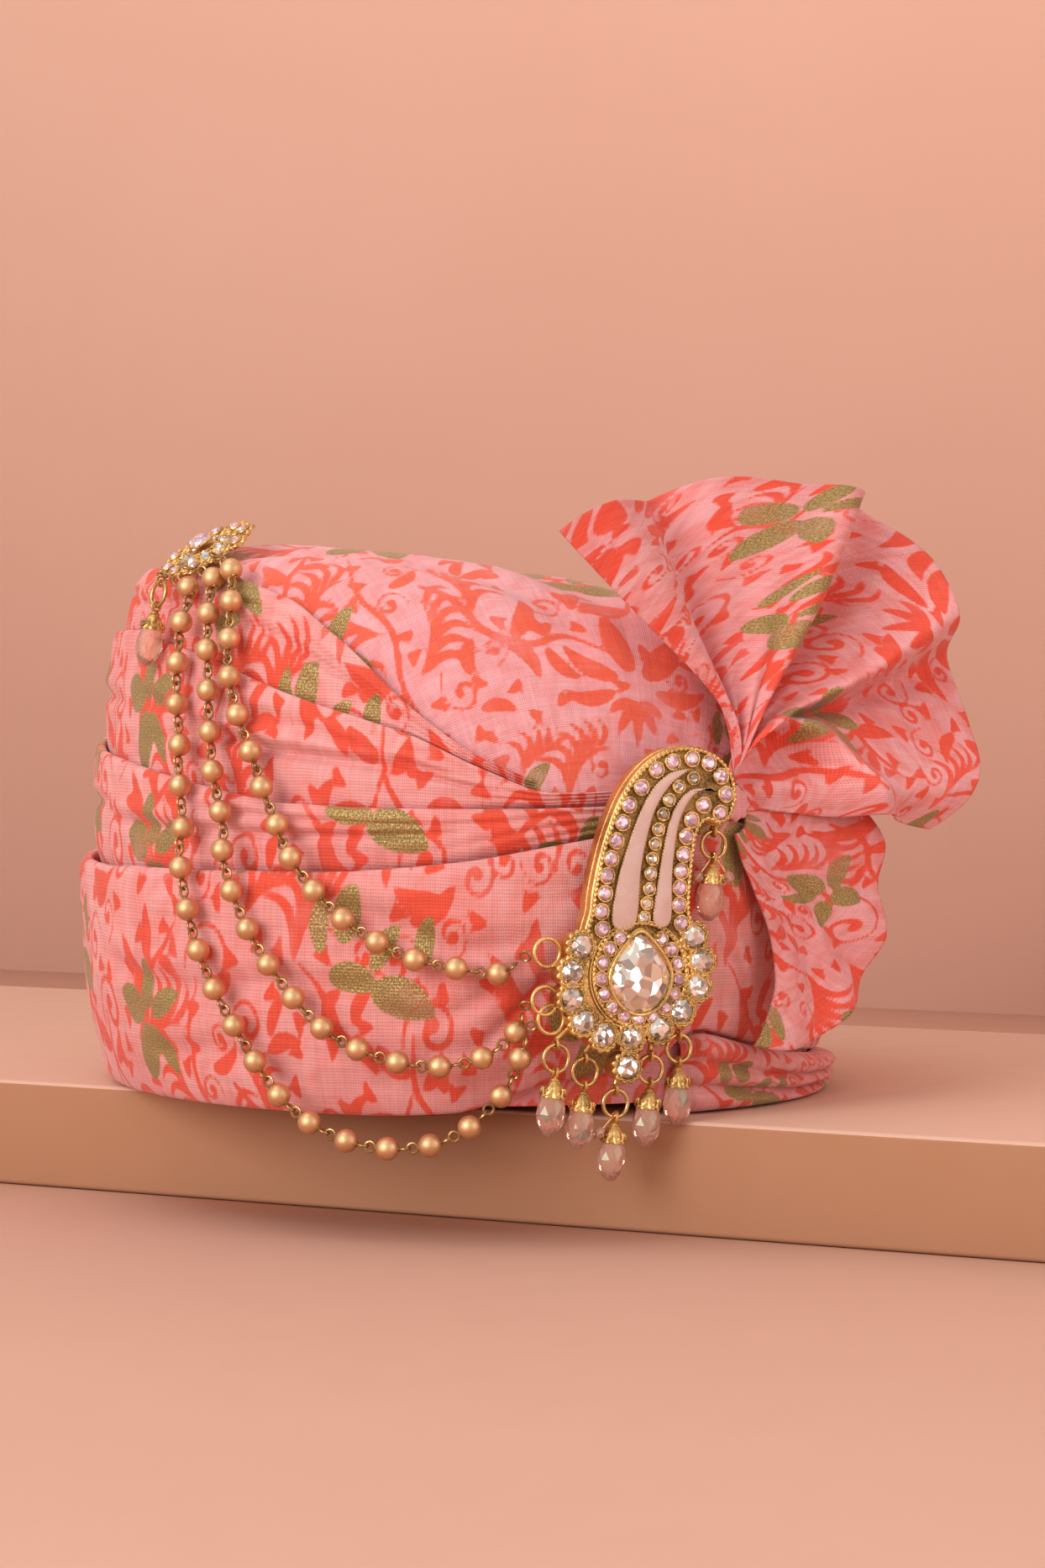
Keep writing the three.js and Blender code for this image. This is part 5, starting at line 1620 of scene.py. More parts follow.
STEM_OUTLINE = [
    (-20, 10), (-20.4, 22), (-18.6, 32), (-15.6, 42), (-11.2, 52), (-6.4, 58.8), (-0.4, 64),
    (6, 66.6), (13, 66.8), (20, 64.4), (24.8, 59.4), (26.4, 52.6), (24.4, 46.4), (20.4, 44.4),
    (16.6, 45.6), (13.6, 42), (12.4, 36), (11.4, 28), (11, 20), (11.6, 10),
]
ENAMEL_LEFT = [
    (-13.9, 16.7), (-12.4, 28.7), (-9.2, 38.4), (-5.2, 48.1), (-0.8, 55.2), (4.8, 59.6), (11, 60.4),
    (5, 56.2), (0.2, 49.6), (-2.6, 41.8), (-4.8, 32), (-6.8, 16.7),
]
ENAMEL_RIGHT = [
    (-1, 17), (0.6, 29.2), (2.6, 39), (4.6, 46.4), (7.6, 51.6), (12, 54.9), (17.8, 54.6),
    (13, 53.4), (9.4, 49.2), (6.8, 42.4), (5.2, 30.3), (4.4, 17),
]
OUTER_STONES = [
    (-17.1, 15.6), (-17.4, 20.6), (-16.2, 25.7), (-15.5, 30.7), (-14.2, 35.5), (-12.5, 40.5),
    (-10.5, 45.6), (-8.4, 50.6), (-4.4, 55.5), (0.5, 60.4), (5.7, 62.6), (11.9, 63.5),
    (17.3, 62.2), (21.3, 58.4),
    (22.8, 53.2), (20.9, 47.8), (15.5, 50.2), (11.6, 46), (9.9, 41.3), (9, 36.2), (8.1, 31.4),
    (7.6, 26.7), (7.4, 21.8), (8.1, 16.6),
]
LINE_STONES = [
    (12.2, 57.9), (7.5, 55.6), (4.3, 51.8), (2.4, 47.8), (0.8, 43.5), (-0.3, 39.4), (-1.2, 35.2),
    (-1.8, 31), (-2.2, 26.6), (-3.1, 22.6), (-4, 18.5),
]
# The large stones round the pear stone: angle, and reach as a share
ROSETTE_ROW = [
    (35, 1.06), (12, 1.0), (-13, 0.94), (-42, 0.89), (-70, 0.93), (-96, 1.0), (-119, 1.08),
    (-140, 1.08), (-162, 1.04), (-186, 0.99), (-211, 0.99),
]
ROSETTE = (-6.0, 2.0)
ROSETTE_REACH = (21, 17.5)
FOOT_STONE = (-9.5, -23.6)
PEAR = (-5.4, 2.0)
STEM_TIP = (20.4, 47.2)
# Middles of the drops' jump rings, and how far each drop leans in degrees
KALGI_DROPS = [
    (-30, -20.6, 8), (-21, -24.8, 8), (-11.4, -34.2, 6), (-0.2, -25, 6), (9, -19.4, 3), (20.8, 38.6, 6),
]
SIDE_RINGS = [(-32.6, 9.3), (-33.4, -4.2), (-31.6, -9.6)]
FACE = PLATE_THICKNESS + CLEARANCE
HALF_PLATE = PLATE_THICKNESS / 2


def kalgi_matrix():
    """The kalgi's plane, as far out as the cloth behind it needs."""
    plane = plane_at(KALGI_FACING, KALGI_LEAN)
    origin = np.array([KALGI_ACROSS, 0.0, KALGI_HEIGHT])
    needed = max(
        float(np.dot(cloth_point(turn, height, 0) - origin, plane[2]))
        for turn in range(-12, 13, 2)
        for height in range(14, 105, 4)
    )
    return frame_of(plane, in_plane(plane, origin, 0, 0, needed + KALGI_STAND))


KALGI = kalgi_matrix()
STONE_PLACES = [
    (
        ROSETTE[0] + ROSETTE_REACH[0] * reach * math.cos(math.radians(angle)),
        ROSETTE[1] + ROSETTE_REACH[1] * reach * math.sin(math.radians(angle)),
    )
    for angle, reach in ROSETTE_ROW
] + [FOOT_STONE]


def pear_loop(size, count):
    """The pear stone's outline times a size."""
    a = np.linspace(0, 2 * math.pi, count, endpoint=False) + math.pi / 2
    high = np.maximum(np.sin(a), 0)
    taper = 1 - 0.42 * high ** 1.6
    x = np.cos(a) * taper * 9.3
    y = (np.sin(a) + 0.16 * high ** 3) * 22.4 / 2.16
    return np.stack([x, y], axis=1) * size + np.array(PEAR)


def small_setting(bm, x, y, radius, height):
    """A collar round a small stone, held by four grains."""
    ring(bm, (x, y, height), radius + 0.12, 0.3, count=20, sides=6)
    turned(bm, [(radius + 0.3, -0.8, 0), (radius + 0.35, 0.0, 0)], 20, place=(x, y, height))
    grains(bm, level(circle(x, y, radius + 0.1, 4, 45.0), height + 0.42), 0.42)


# Section of a large stone's cup: reach, height, and share of the scallops
CUP_PROFILE = [
    (4.0, -6.6, 0), (4.3, -2.2, 0), (4.6, -1.2, 0.3), (5.0, -0.5, 0.9), (5.15, 0.1, 1.0),
    (4.9, 0.6, 1.0), (4.45, 0.8, 0.6), (4.1, 0.75, 0.2), (3.8, 0.2, 0), (3.7, -0.6, 0),
]


def cast_cup(bm, x, y):
    """The carved cup of a large stone: a scalloped rim over a stepped foot."""
    turned(bm, CUP_PROFILE, 72, 12, 0.16, (x, y, FACE))
    grains(bm, level(circle(x, y, 4.3, 12, 15), FACE + 0.75), 0.42)
    ring(bm, (x, y, FACE + 0.55), 3.72, 0.2, count=32, sides=6)
    grains(bm, level(circle(x, y, 3.55, 4, 45), FACE + 1.1), 0.5)


RING_DROP = RING_RADIUS + BAIL_RADIUS - BAIL_WIRE - RING_WIRE - CLEARANCE


def bail_place(drop):
    return drop[0], drop[1] + RING_DROP


# Fifteen small pink stones round the pear stone, with a gap at its tip
INNER_MIDDLE = (-5.4, 2.2)
INNER_REACH = 12.3
INNER_ANGLES = [math.radians(56 - 21.2 * i) for i in range(15)]
INNER_ROW = [
    (INNER_MIDDLE[0] + INNER_REACH * math.cos(a), INNER_MIDDLE[1] + INNER_REACH * math.sin(a))
    for a in INNER_ANGLES
]


def kalgi_gold():
    """The kalgi's plate with its rope edges, settings, cups, grains, bails and rings."""
    bm = bmesh.new()
    outline = spaced(STEM_OUTLINE, 1.3)
    plate(bm, outline, 0, PLATE_THICKNESS - 0.2, 0.7)
    oval = circle(0, 0, 1, 72) * np.array([20.6, 17.0]) + np.array(ROSETTE)
    plate(bm, oval, 0, PLATE_THICKNESS - 0.25, 0.6)
    wire(bm, level(spaced(inset(outline, 0.75), 0.3), FACE - 0.05), 0.55, 8, True, rope=0.3, pitch=1.5)
    wire(bm, level(spaced(outline, 1.0), 4.0), 0.3, 6, True)
    for x, y in OUTER_STONES:
        small_setting(bm, x, y, 2.15, FACE + 0.2)
    for x, y in LINE_STONES:
        small_setting(bm, x, y, 1.7, FACE + 0.4)
    for x, y in STONE_PLACES:
        cast_cup(bm, x, y)
    for table in (ENAMEL_LEFT, ENAMEL_RIGHT):
        grains(bm, level(inset(spaced(table, 0.95), -0.25), FACE + 0.3), 0.42)
    for x, y in INNER_ROW:
        small_setting(bm, x, y, 1.95, FACE + 0.35)
    rope_line = level(circle(*INNER_MIDDLE, 14.75, 260), FACE + 0.3)
    wire(bm, rope_line, 0.5, 8, True, rope=0.3, pitch=1.4)
    wire(bm, level(circle(*INNER_MIDDLE, 15.6, 90), FACE - 0.1), 0.35, 6, True)
    grains(bm, level(circle(*INNER_MIDDLE, 10.35, 62), FACE + 0.35), 0.38)
    wire(bm, level(pear_loop(1.06, 72), FACE + 1.0), 0.62, 10, True)
    wire(bm, level(pear_loop(1.1, 72), FACE + 0.2), 0.55, 8, True)
    for x in (-8.9, 0.4):
        at = Matrix.Translation((x, 13.2, FACE + 0.8))
        bmesh.ops.create_uvsphere(bm, u_segments=16, v_segments=10, radius=1.0, matrix=at)
    for drop in KALGI_DROPS:
        x, y = bail_place(drop)
        ring(bm, (x, y, HALF_PLATE), BAIL_RADIUS, BAIL_WIRE, (1, 0, 0), 20, 8)
        near = min(STONE_PLACES + [STEM_TIP], key=lambda p: math.hypot(p[0] - x, p[1] - y))
        root = np.linspace((x, y + BAIL_RADIUS, HALF_PLATE), (*near, HALF_PLATE), 8)
        wire(bm, root, BAIL_WIRE * 1.5, 10)
    for x, y in SIDE_RINGS:
        ring(bm, (x, y, HALF_PLATE), SIDE_RING_RADIUS, SIDE_RING_WIRE, count=40, sides=10)
    return bm


def stones_of(places, radius, height, base):
    """Round stones, each turned a little further than the one before."""
    bm = bmesh.new()
    for i, (x, y) in enumerate(places):
        turn = Matrix.Rotation(math.radians(i * 17.0), 4, "Z")
        cut(bm, round_cut(radius, height), (x, y, base), turn)
    return bm


def pear_stone():
    bm = bmesh.new()
    cut(bm, [
        level(pear_loop(0.98, 20), FACE),
        level(pear_loop(1.0, 20), FACE + 1.1),
        level(pear_loop(0.84, 10), FACE + 2.8),
        level(pear_loop(0.58, 10), FACE + 4.1),
    ])
    return bm


jewel_piece("kalgi_plate", kalgi_gold(), KALGI, ANTIQUE_GOLD, "antique_gold", ["kalgi_body"])
# The field between the settings, laid in the dark gold of painted shade
field = bmesh.new()
plate(field, inset(spaced(STEM_OUTLINE, 1.3), 1.0), PLATE_THICKNESS - 0.6, PLATE_THICKNESS - 0.05)
jewel_piece("kalgi_field", field, KALGI, RECESS_SHADE_GOLD, "antique_gold")
for side, table in (("left", ENAMEL_LEFT), ("right", ENAMEL_RIGHT)):
    panel = bmesh.new()
    plate(panel, inset(spaced(table, 0.8), 0.2), FACE - 0.2, FACE + 0.75, 0.32)
    nodes = [f"enamel_{side}"]
    jewel_piece(f"enamel_{side}_panel", panel, KALGI, PANEL_ENAMEL, "pink_enamel", nodes, angle=70)
large_nodes = [f"large_stone_{i}" for i in range(1, 13)]
large_stones = stones_of(STONE_PLACES, 3.62, 2.4, FACE)
stone_piece("large_stones", large_stones, KALGI, CLEAR_STONE, "clear_stone", large_nodes)
stone_piece("pear_cut_stone", pear_stone(), KALGI, PEAR_STONE, "clear_stone", ["pear_stone"])
for name, places, radius, height, base, material, slot in (
    ("outer_pink_stones", OUTER_STONES, 2.1, 1.4, FACE, PINK_STONE, "pink_stone"),
    ("inner_pink_stones", INNER_ROW, 1.9, 1.3, FACE + 0.2, PINK_STONE, "pink_stone"),
    ("line_stones", LINE_STONES, 1.66, 1.2, FACE + 0.2, CLEAR_STONE, "clear_stone"),
):
    stone_piece(name, stones_of(places, radius, height, base), KALGI, material, slot)


# Drops: a jump ring, a petal cap with its eye and a faceted crystal

# Sections of the drops: reach, height, and share of the petals
CAP_PROFILE = [
    (0.05, 0.25, 0), (0.75, 0.1, 0), (1.25, -0.5, 0), (1.15, -0.9, 0), (1.9, -1.7, 0.2),
    (2.8, -3.0, 0.5), (3.35, -4.4, 0.8), (3.55, -5.6, 1.0), (3.5, -5.95, 1.0), (3.25, -5.7, 1.0),
    (3.05, -4.4, 0.8), (2.5, -3.1, 0.5),
]
RIB_LINE = ((1.25, -1.1), (1.75, -1.9), (2.2, -3.0), (2.6, -4.3), (2.7, -5.5))
CRYSTAL_ROWS = ((2.3, 0), (3.1, -1.3), (3.9, -3.6), (4.2, -6.2), (3.8, -8.5), (2.7, -10.5), (1.3, -11.9))
CRYSTAL_POINT = -12.3


def petal_cap():
    """Pierced looking cap: ribbed petals over a flared bell, their rims edged with wire."""
    bm = bmesh.new()
    ring(bm, (0, -EYE_RADIUS, 0), EYE_RADIUS, EYE_WIRE, (1, 0, 0), 20, 8)
    part = bmesh.new()
    turned(part, CAP_PROFILE, 72, 6, 0.2)
    ring(part, (0, 0, -0.85), 1.3, 0.26, count=24, sides=6)
    for k in range(6):
        a = math.radians(60 * k)
        b = math.radians(60 * k + 30)
        rib = [polar(reach, a, height) for reach, height in RIB_LINE]
        wire(part, spaced(rib, 0.6, False), 0.2, 6, up=(0.3, 0.2, 1))
        scroll = []
        for step in range(11):
            turn = math.pi * (step / 10 - 0.5)
            spread = math.sin(turn) * 0.42
            height = -3.0 - 2.1 * math.cos(turn)
            reach = 3.75 - 0.25 * (height + 5.6) ** 2 * 0.25
            scroll.append(polar(reach, b + spread, height))
        wire(part, scroll, 0.22, 6, up=polar(1, b, 0.1))
        grains(part, [polar(3.6, b, -3.6)], 0.42)
        grains(part, [polar(3.4, a, -5.8)], 0.32)
    stand = Matrix.Translation((0, -2 * EYE_RADIUS, 0)) @ Matrix.Rotation(math.radians(-90), 4, "X")
    bmesh.ops.transform(part, matrix=stand, verts=part.verts)
    added(bm, part)
    return bm


def drop_crystal():
    """A briolette: rows of small facets down to a point."""
    bm = bmesh.new()
    rings = [
        [(x, height, -y) for x, y in circle(0, 0, reach, 10, 18 * (i % 2))]
        for i, (reach, height) in enumerate(CRYSTAL_ROWS)
    ]
    cut(bm, rings + [[(0, CRYSTAL_POINT, 0)]])
    return bm


def hang_drop(number, matrix, place, lean):
    """A drop on its jump ring, whose middle is at a place of a plane."""
    at = matrix @ Matrix.Translation(Vector(place))
    shift = Matrix.Translation((0, -RING_RADIUS + RING_WIRE + EYE_WIRE + CLEARANCE, 0))
    hung = at @ (shift @ Matrix.Rotation(math.radians(-lean), 4, "Z"))
    crystal_at = hung @ Matrix.Translation((0, -2 * EYE_RADIUS - CAP_HEIGHT - CLEARANCE + 1.8, 0))
    loop = bmesh.new()
    ring(loop, (0, 0, 0), RING_RADIUS, RING_WIRE, count=40, sides=10)
    ring_node, cap_node, crystal_node = (f"drop_{kind}_{number}" for kind in ("ring", "cap", "crystal"))
    jewel_piece(f"jump_ring_{number}", loop, at, WIRE_GOLD, "antique_gold", [ring_node])
    jewel_piece(f"petal_cap_{number}", petal_cap(), hung, ANTIQUE_GOLD, "antique_gold", [cap_node])
    crystal = drop_crystal()
    name = f"faceted_drop_{number}"
    stone_piece(name, crystal, crystal_at, PEACH_CRYSTAL, "peach_crystal", [crystal_node])


for i, (x, y, lean) in enumerate(KALGI_DROPS):
    hang_drop(i + 1, KALGI, (x, y, HALF_PLATE), lean)


def pin_bead(name, drop, across, down):
    """A small crystal bead on a pin whose eye rides on a jump ring."""
    size = 1.7
    x, y, _ = drop
    start = np.array([x, y - RING_RADIUS + 1.2, HALF_PLATE])
    end = np.array([x + across, y - down, HALF_PLATE + 0.5])
    ahead = (end - start) / np.linalg.norm(end - start)
    pin = bmesh.new()
    eye = start + ahead * 1.0
    side = Vector(ahead).cross(Vector((0, 0, 1))).normalized()
    tip = end + ahead * (size + 0.4)
    ring(pin, eye - ahead * 0.6, 1.2, 0.28, tuple(side), 18, 6)
    wire(pin, np.linspace(eye + ahead * 0.6, tip, 6), 0.26, 6, up=(0.1, 0.3, 1))
    grains(pin, [tip], 0.5)
    jewel_piece(name + "_pin", pin, KALGI, WIRE_GOLD, "antique_gold")
    bead = bmesh.new()
    turn = Vector(ahead).to_track_quat("Z", "Y").to_matrix().to_4x4()
    rows = ((0.5, -0.95, 0), (1, -0.35, 26), (1, 0.35, 0), (0.5, 0.95, 26))
    corners = [level(circle(0, 0, size * reach, 7, first), size * height) for reach, height, first in rows]
    cut(bead, corners, tuple(end), turn)
    stone_piece(name, bead, KALGI, SMALL_CRYSTAL, "peach_crystal")


pin_bead("tip_bead_left", KALGI_DROPS[5], -5.5, 9.0)
pin_bead("tip_bead_right", KALGI_DROPS[5], 4.5, 9.4)
pin_bead("middle_bead", KALGI_DROPS[2], -5.6, 8.0)


# Round brooch

def brooch_frame():
    """The round brooch's plane and seat, square to the body and clear of the cloth."""
    foot = core_point(BROOCH_TURN, BROOCH_UP)
    out = core_point(BROOCH_TURN, BROOCH_UP, 1.0) - foot
    out /= np.linalg.norm(out)
    across = np.cross((0, 0, 1), out)
    across /= np.linalg.norm(across)
    up = np.cross(out, across)
    needed = 0.0
    for turn in range(BROOCH_TURN - 20, BROOCH_TURN + 21, 2):
        for step in range(25):
            share = BROOCH_UP - 0.12 + 0.01 * step
            away = core_point(turn, share, cloth_out(turn, share)) - foot
            rise = float(np.dot(away, out))
            if math.sqrt(max(float(np.dot(away, away)) - rise * rise, 0)) < BROOCH_RADIUS:
                needed = max(needed, rise)
    return (across, up, out), foot + out * (needed + CLEARANCE)


BROOCH_PLANE, BROOCH_SEAT = brooch_frame()
BROOCH = frame_of(BROOCH_PLANE, BROOCH_SEAT)
BROOCH_BAIL = (0.0, -(BROOCH_RADIUS + BAIL_RADIUS - BAIL_WIRE / 2), BROOCH_THICKNESS / 2)


FLOWER_RING = 12.75
FLOWER_COUNT = 10


def filigree():
    """The openwork of the round brooch: flowers round its edge, scrolls and rings inside them."""
    bm = bmesh.new()
    turned(bm, [(0.1, 0, 0), (8.4, 0, 0), (8.6, 0.9, 0), (6.5, 2.2, 0), (0.1, 3.4, 0)], 40)
    for radius, height, thick in ((8.6, 1.0, 0.45), (12.0, 0.9, 0.4), (5.4, 2.7, 0.35)):
        ring(bm, (0, 0, height), radius, thick, count=150, sides=6, rope=0.3, pitch=1.5)
    for k in range(FLOWER_COUNT):
        c = math.radians(36 * k)
        a = math.radians(36 * k + 18)
        fx, fy, _ = polar(FLOWER_RING, a, 0)
        for j in range(6):
            px, py, _ = polar(2.75, a + math.radians(60 * j), 0)
            petal = (fx + px, fy + py, 1.5)
            ring(bm, petal, 1.15, 0.28, count=16, sides=6)
            grains(bm, [petal], 0.55)
        ring(bm, (fx, fy, 2.1), 1.75, 0.34, count=22, sides=6)
        turned(bm, [(1.9, 0.0, 0), (1.75, 2.2, 0)], 20, place=(fx, fy, 0))
        low, high = polar(9.1, c, 1.3), polar(13.0, c, 1.5)
        scroll = [low, polar(11.2, c + 0.1, 1.5), high, polar(11.2, c - 0.1, 1.5)]
        wire(bm, spaced(scroll, 0.6), 0.26, 6, True)
        grains(bm, [polar(15.1, c, 1.5)], 0.8)
        grains(bm, [polar(7.1, a, 2.3)], 0.6)
    ring(bm, (0, 0, BROOCH_THICKNESS + 0.5), 3.7, 0.4, count=40, sides=8)
    grains(bm, level(circle(0, 0, 4.0, 8), BROOCH_THICKNESS + 0.8), 0.45)
    ring(bm, BROOCH_BAIL, BAIL_RADIUS, BAIL_WIRE, (1, 0, 0), 20, 8)
    return bm


# Corners of a petal, in three layers
PETAL = (
    ((4.0, 0, -0.2), (8.9, 0, -0.2)),
    ((6.2, 1.7, -0.1), (6.2, -1.7, -0.1), (7.8, 1.3, -0.1), (7.8, -1.3, -0.1)),
    ((4.6, 0, 0.8), (6.4, 0.9, 0.9), (6.4, -0.9, 0.9), (7.9, 0, 0.7)),
)


def white_petals():
    bm = bmesh.new()
    lifted = Matrix.Rotation(math.radians(14), 4, "Y")
    for k in range(8):
        cut(bm, PETAL, (0, 0, 3.5), Matrix.Rotation(math.radians(45 * k + 10), 4, "Z") @ lifted)
    return bm


jewel_piece("filigree_brooch", filigree(), BROOCH, ANTIQUE_GOLD, "antique_gold", ["round_brooch"])
stone_piece("brooch_petals", white_petals(), BROOCH, WHITE_METAL, "antique_gold")
flower_stones = stones_of(circle(0, 0, FLOWER_RING, FLOWER_COUNT, 18), 1.6, 1.2, 1.9)
stone_piece("flower_stones", flower_stones, BROOCH, PINK_STONE, "pink_stone")
centre = stones_of([(0, 0)], 3.6, 2.2, BROOCH_THICKNESS + CLEARANCE)
stone_piece("brooch_centre", centre, BROOCH, PINK_STONE, "pink_stone", ["brooch_stone"])


def brooch_drop_matrix():
    """Where the seventh drop's ring hangs, its drop lying along the cloth."""
    middle = BROOCH_SEAT + sum(BROOCH_PLANE[k] * BROOCH_BAIL[k] for k in range(3))
    turn = math.degrees(math.atan2(middle[0], -middle[1]))
    length = 2 * RING_RADIUS + 2 * EYE_RADIUS + CAP_HEIGHT + CRYSTAL_LENGTH * 0.6
    foot = cloth_point(turn, middle[2] - length, CRYSTAL_RADIUS + 0.4, CHAIN_MARGIN)
    up = middle - foot
    up /= np.linalg.norm(up)
    across = plane_at(turn, 0)[0]
    plane = (across, up, np.cross(across, up))
    return frame_of(plane, middle - up * RING_DROP)


hang_drop(7, brooch_drop_matrix(), (0, 0, 0), 0)


# Bead chains: routes from the round brooch to the kalgi, as turn and height

CHAIN_ROUTES = [
    [
        (-71.2, 153), (-69.8, 141), (-68.6, 123), (-65.8, 98), (-63.6, 73), (-59.8, 47), (-53.2, 24),
        (-45.2, 4), (-38.5, -4), (-32, -6.5), (-25.5, -4.5), (-20.5, 3), (-17.2, 12),
    ],
    [
        (-66.8, 157), (-64.8, 146), (-62.4, 132), (-60.6, 111), (-57, 86), (-53.6, 63.5), (-47, 41.5),
        (-38, 23.5), (-27, 17), (-20, 20), (-16.4, 27),
    ],
    [
        (-62.4, 158), (-60.4, 149), (-59.2, 139), (-56.6, 121), (-51.2, 99), (-45.7, 77.5), (-38, 59),
        (-28, 47), (-18.4, 43.6),
    ],
]
CHAIN_STARTS = [-88, -55, -24]


def rounded_route(points):
    """A smooth curve through points that never overshoots them, closely sampled."""
    points = np.asarray(points, float)
    points = np.concatenate([[2 * points[0] - points[1]], points, [2 * points[-1] - points[-2]]])
    t = np.linspace(0, 1, 40, endpoint=False)[:, None]
    runs = []
    for p0, p1, p2, p3 in zip(points, points[1:], points[2:], points[3:]):
        a, b, c = (math.sqrt(np.linalg.norm(q - p)) for p, q in ((p0, p1), (p1, p2), (p2, p3)))
        start = ((p1 - p0) / a - (p2 - p0) / (a + b) + (p2 - p1) / b) * b
        end = ((p2 - p1) / b - (p3 - p1) / (b + c) + (p3 - p2) / c) * b
        runs.append(
            (2 * t ** 3 - 3 * t ** 2 + 1) * p1 + (t ** 3 - 2 * t ** 2 + t) * start
            + (3 * t ** 2 - 2 * t ** 3) * p2 + (t ** 3 - t ** 2) * end
        )
    return np.concatenate([*runs, [points[-2]]])


def spread_evenly(dense, count):
    """Places evenly spread along a line, and its length."""
    run = run_along(dense)
    return read_columns(np.linspace(0, run[-1], count), run, dense), run[-1]


def chain_path(number):
    """A string's line from the round brooch's rim over the cloth to its ring on the kalgi."""
    a = math.radians(CHAIN_STARTS[number])
    reach = BROOCH_RADIUS + CLEARANCE + LINK_WIRE
    start = (BROOCH @ Vector(polar(reach, a, BEAD_RADIUS * 1.3))) / MM
    across, up = SIDE_RINGS[2 if number == 0 else 2 - number]
    hold = across - SIDE_RING_RADIUS - SIDE_RING_WIRE - LINK_WIRE - CLEARANCE
    end = (KALGI @ Vector((hold, up, HALF_PLATE))) / MM
    route = CHAIN_ROUTES[number]
    flat, _ = spread_evenly(rounded_route(route), len(route) * 3 + 1)
    body = []
    for turn, height in flat:
        place = cloth_point(turn, max(height, CHAIN_FALL), BEAD_RADIUS + CHAIN_STAND, CHAIN_MARGIN)
        body.append((place[0], place[1], height))
    return rounded_route([tuple(start), *body, tuple(end)])


def chain_pieces(number):
    """A string's beads with a tube end at each side, and the pair of wire eyes between them."""
    steps = 2000
    fine, length = spread_evenly(chain_path(number), steps + 1)
    count = round(length / BEAD_PITCH) - 1
    pitch = length / (count + 1)
    eye = 1.45
    beads = bmesh.new()
    wires = bmesh.new()

    def place_at(distance):
        i = min(max(distance / length, 0.0), 1.0) * steps
        low = min(int(i), steps - 1)
        return fine[low] + (fine[low + 1] - fine[low]) * (i - low)

    for i in range(count + 1):
        if i:
            middle = place_at(i * pitch)
            ahead = Vector(place_at(i * pitch + 3) - place_at(i * pitch - 3)).normalized()
            turn = ahead.to_track_quat("Z", "Y").to_matrix().to_4x4()
            at = Matrix.Translation(Vector(middle)) @ turn
            radius = BEAD_RADIUS * 0.97
            bmesh.ops.create_uvsphere(beads, u_segments=24, v_segments=14, radius=radius, matrix=at)
            for end in (-1, 1):
                tip = middle + np.array(ahead) * end * BEAD_RADIUS * 0.95
                ring(wires, tip, 0.62, 0.24, tuple(ahead), 14, 6)
        gap_start = place_at(i * pitch + (BEAD_RADIUS if i else 0))
        gap_end = place_at((i + 1) * pitch - (BEAD_RADIUS if i < count else 0))
        ahead = Vector(gap_end - gap_start).normalized()
        outward = Vector(((gap_start + gap_end) / 2 * np.array((1, 1, 0))).tolist()).normalized()
        side = ahead.cross(outward).normalized()
        over = side.cross(ahead)
        ring(wires, gap_start + np.array(ahead) * (eye + 0.2), eye, 0.42, tuple(side), 20, 7)
        ring(wires, gap_end - np.array(ahead) * (eye + 0.2), eye, 0.42, tuple(over), 20, 7)
    metres = Matrix.Scale(MM, 4)
    label = number + 1
    jewel_piece(f"chain_beads_{label}", beads, metres, BEAD_GOLD, "matte_gold", [f"bead_chain_{label}"])
    jewel_piece(f"chain_wires_{label}", wires, metres, CHAIN_WIRE, "antique_gold")


for chain_number in range(3):
    chain_pieces(chain_number)


# Stage, lights and camera

EDGE_FROM = Vector((-120.2, 33.4, 0.0))
EDGE_TO = Vector((83.5, -228.0, 0.0))
LEDGE_THICKNESS = 33
LEDGE_DEPTH = 300


def ledge_matrix():
    """Along the ledge's front edge, back from it, and up."""
    along = (EDGE_TO - EDGE_FROM).normalized()
    up = Vector((0, 0, 1))
    back = up.cross(along)
    middle = (EDGE_FROM + EDGE_TO) / 2
    matrix = Matrix((along, back, up)).transposed().to_4x4()
    matrix.translation = middle
    return Matrix.Scale(MM, 4) @ matrix


def stage_piece(name, size, corner, bevel, material):
    """A box of the stage, along the ledge's front edge."""
    bm = bmesh.new()
    bmesh.ops.create_cube(bm, size=1)
    for vert in bm.verts:
        vert.co = Vector([corner[k] + (vert.co[k] + 0.5) * size[k] for k in range(3)])
    if bevel:
        bmesh.ops.bevel(
            bm, geom=bm.edges[:], offset=bevel, segments=4, affect="EDGES", profile=0.5, material=-1,
        )
    bmesh.ops.transform(bm, matrix=ledge_matrix(), verts=bm.verts)
    mesh = mesh_of(name, bm)
    mesh.shade_smooth()
    piece = linked(name, mesh)
    mesh.materials.append(material)
    return piece


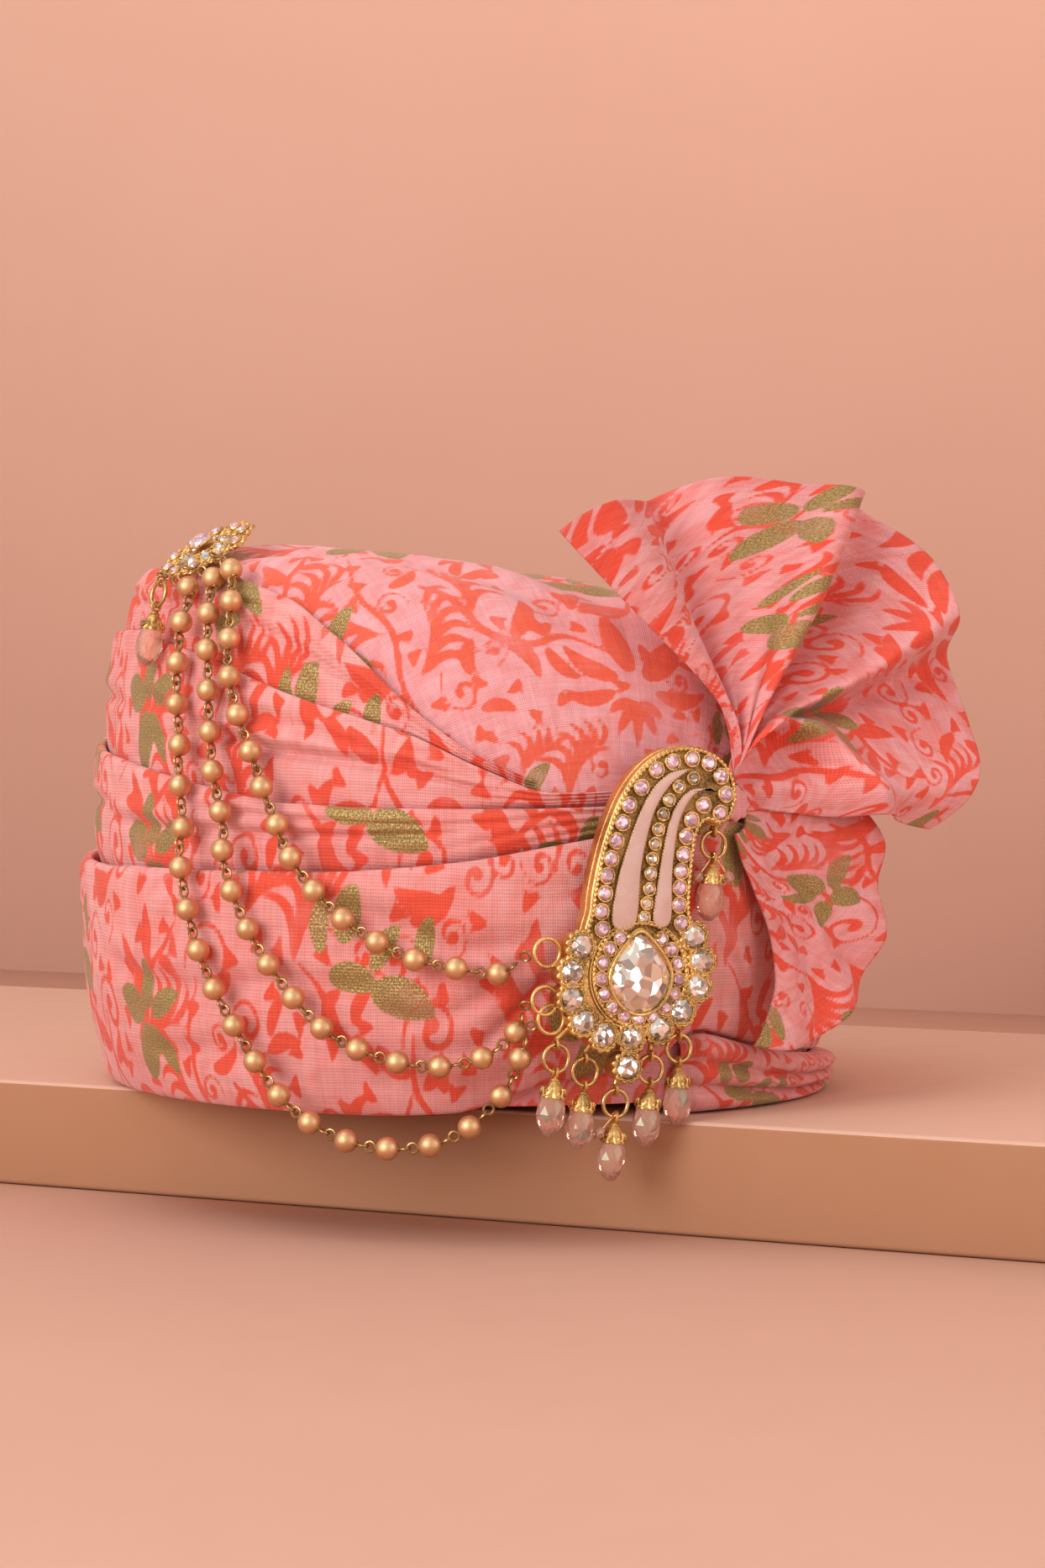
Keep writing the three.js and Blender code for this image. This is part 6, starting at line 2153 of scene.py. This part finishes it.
ledge_size = (1600, LEDGE_DEPTH, LEDGE_THICKNESS)
ledge = stage_piece("stage_ledge", ledge_size, (-800, 0, -LEDGE_THICKNESS), 1.6, STAGE_TOP)
# Faces that don't face up take the colour of painted shade; the top keeps the ledge's own colour
ledge.data.materials.append(STAGE_FACE_SHADE)
for face in ledge.data.polygons:
    face.material_index = 0 if face.normal.z > 0.4 else 1
stage_piece("stage_floor", (5000, 3500, 20), (-2500, -2700, -LEDGE_THICKNESS - 20), 0, STAGE_FLOOR)
stage_piece("stage_wall", (5000, 40, 2600), (-2500, LEDGE_DEPTH + 420, -400), 0, STAGE_WALL)


def soft_light(name, place, aim, size, power, colour):
    data = bpy.data.lights.new(name, "AREA")
    data.shape = "SQUARE"
    data.size = size
    data.energy = power
    data.color = colour
    lamp = linked(name, data)
    lamp.location = place
    lamp.rotation_euler = (Vector(aim) - Vector(place)).to_track_quat("-Z", "Y").to_euler()


soft_light("key_light", (-2.9, -1.35, 1.3), (0.0, 0.0, 0.06), 2.0, 76.0, (1.0, 0.975, 0.94))
soft_light("fill_light", (0.9, -1.5, 0.55), (0.0, 0.0, 0.06), 1.4, 7.0, (1.0, 0.95, 0.9))
soft_light("back_light", (-0.5, 0.1, 1.6), (0.0, 0.0, 0.1), 1.0, 5.0, (1.0, 0.96, 0.92))
bpy.context.scene.view_settings.view_transform = "Standard"

world = bpy.data.worlds.new("soft_room")
bpy.context.scene.world = world
world.use_nodes = True
background = world.node_tree.nodes["Background"].inputs
background["Color"].default_value = (1.0, 0.90, 0.83, 1)
background["Strength"].default_value = 0.68

CAMERA_PLACE = Vector((-469.7, -1103.4, 126.8)) * MM
CAMERA_AIM = Vector((18.0, -8.0, 93.3)) * MM
camera_data = bpy.data.cameras.new("photo_camera")
camera_data.sensor_fit = "VERTICAL"
camera_data.sensor_height = 36.0
camera_data.lens = 86.8
camera_data.clip_start = 0.02
camera_data.clip_end = 20
camera = linked("photo_camera", camera_data)
camera.location = CAMERA_PLACE
camera.rotation_euler = (CAMERA_AIM - CAMERA_PLACE).to_track_quat("-Z", "Y").to_euler()
bpy.context.scene.camera = camera
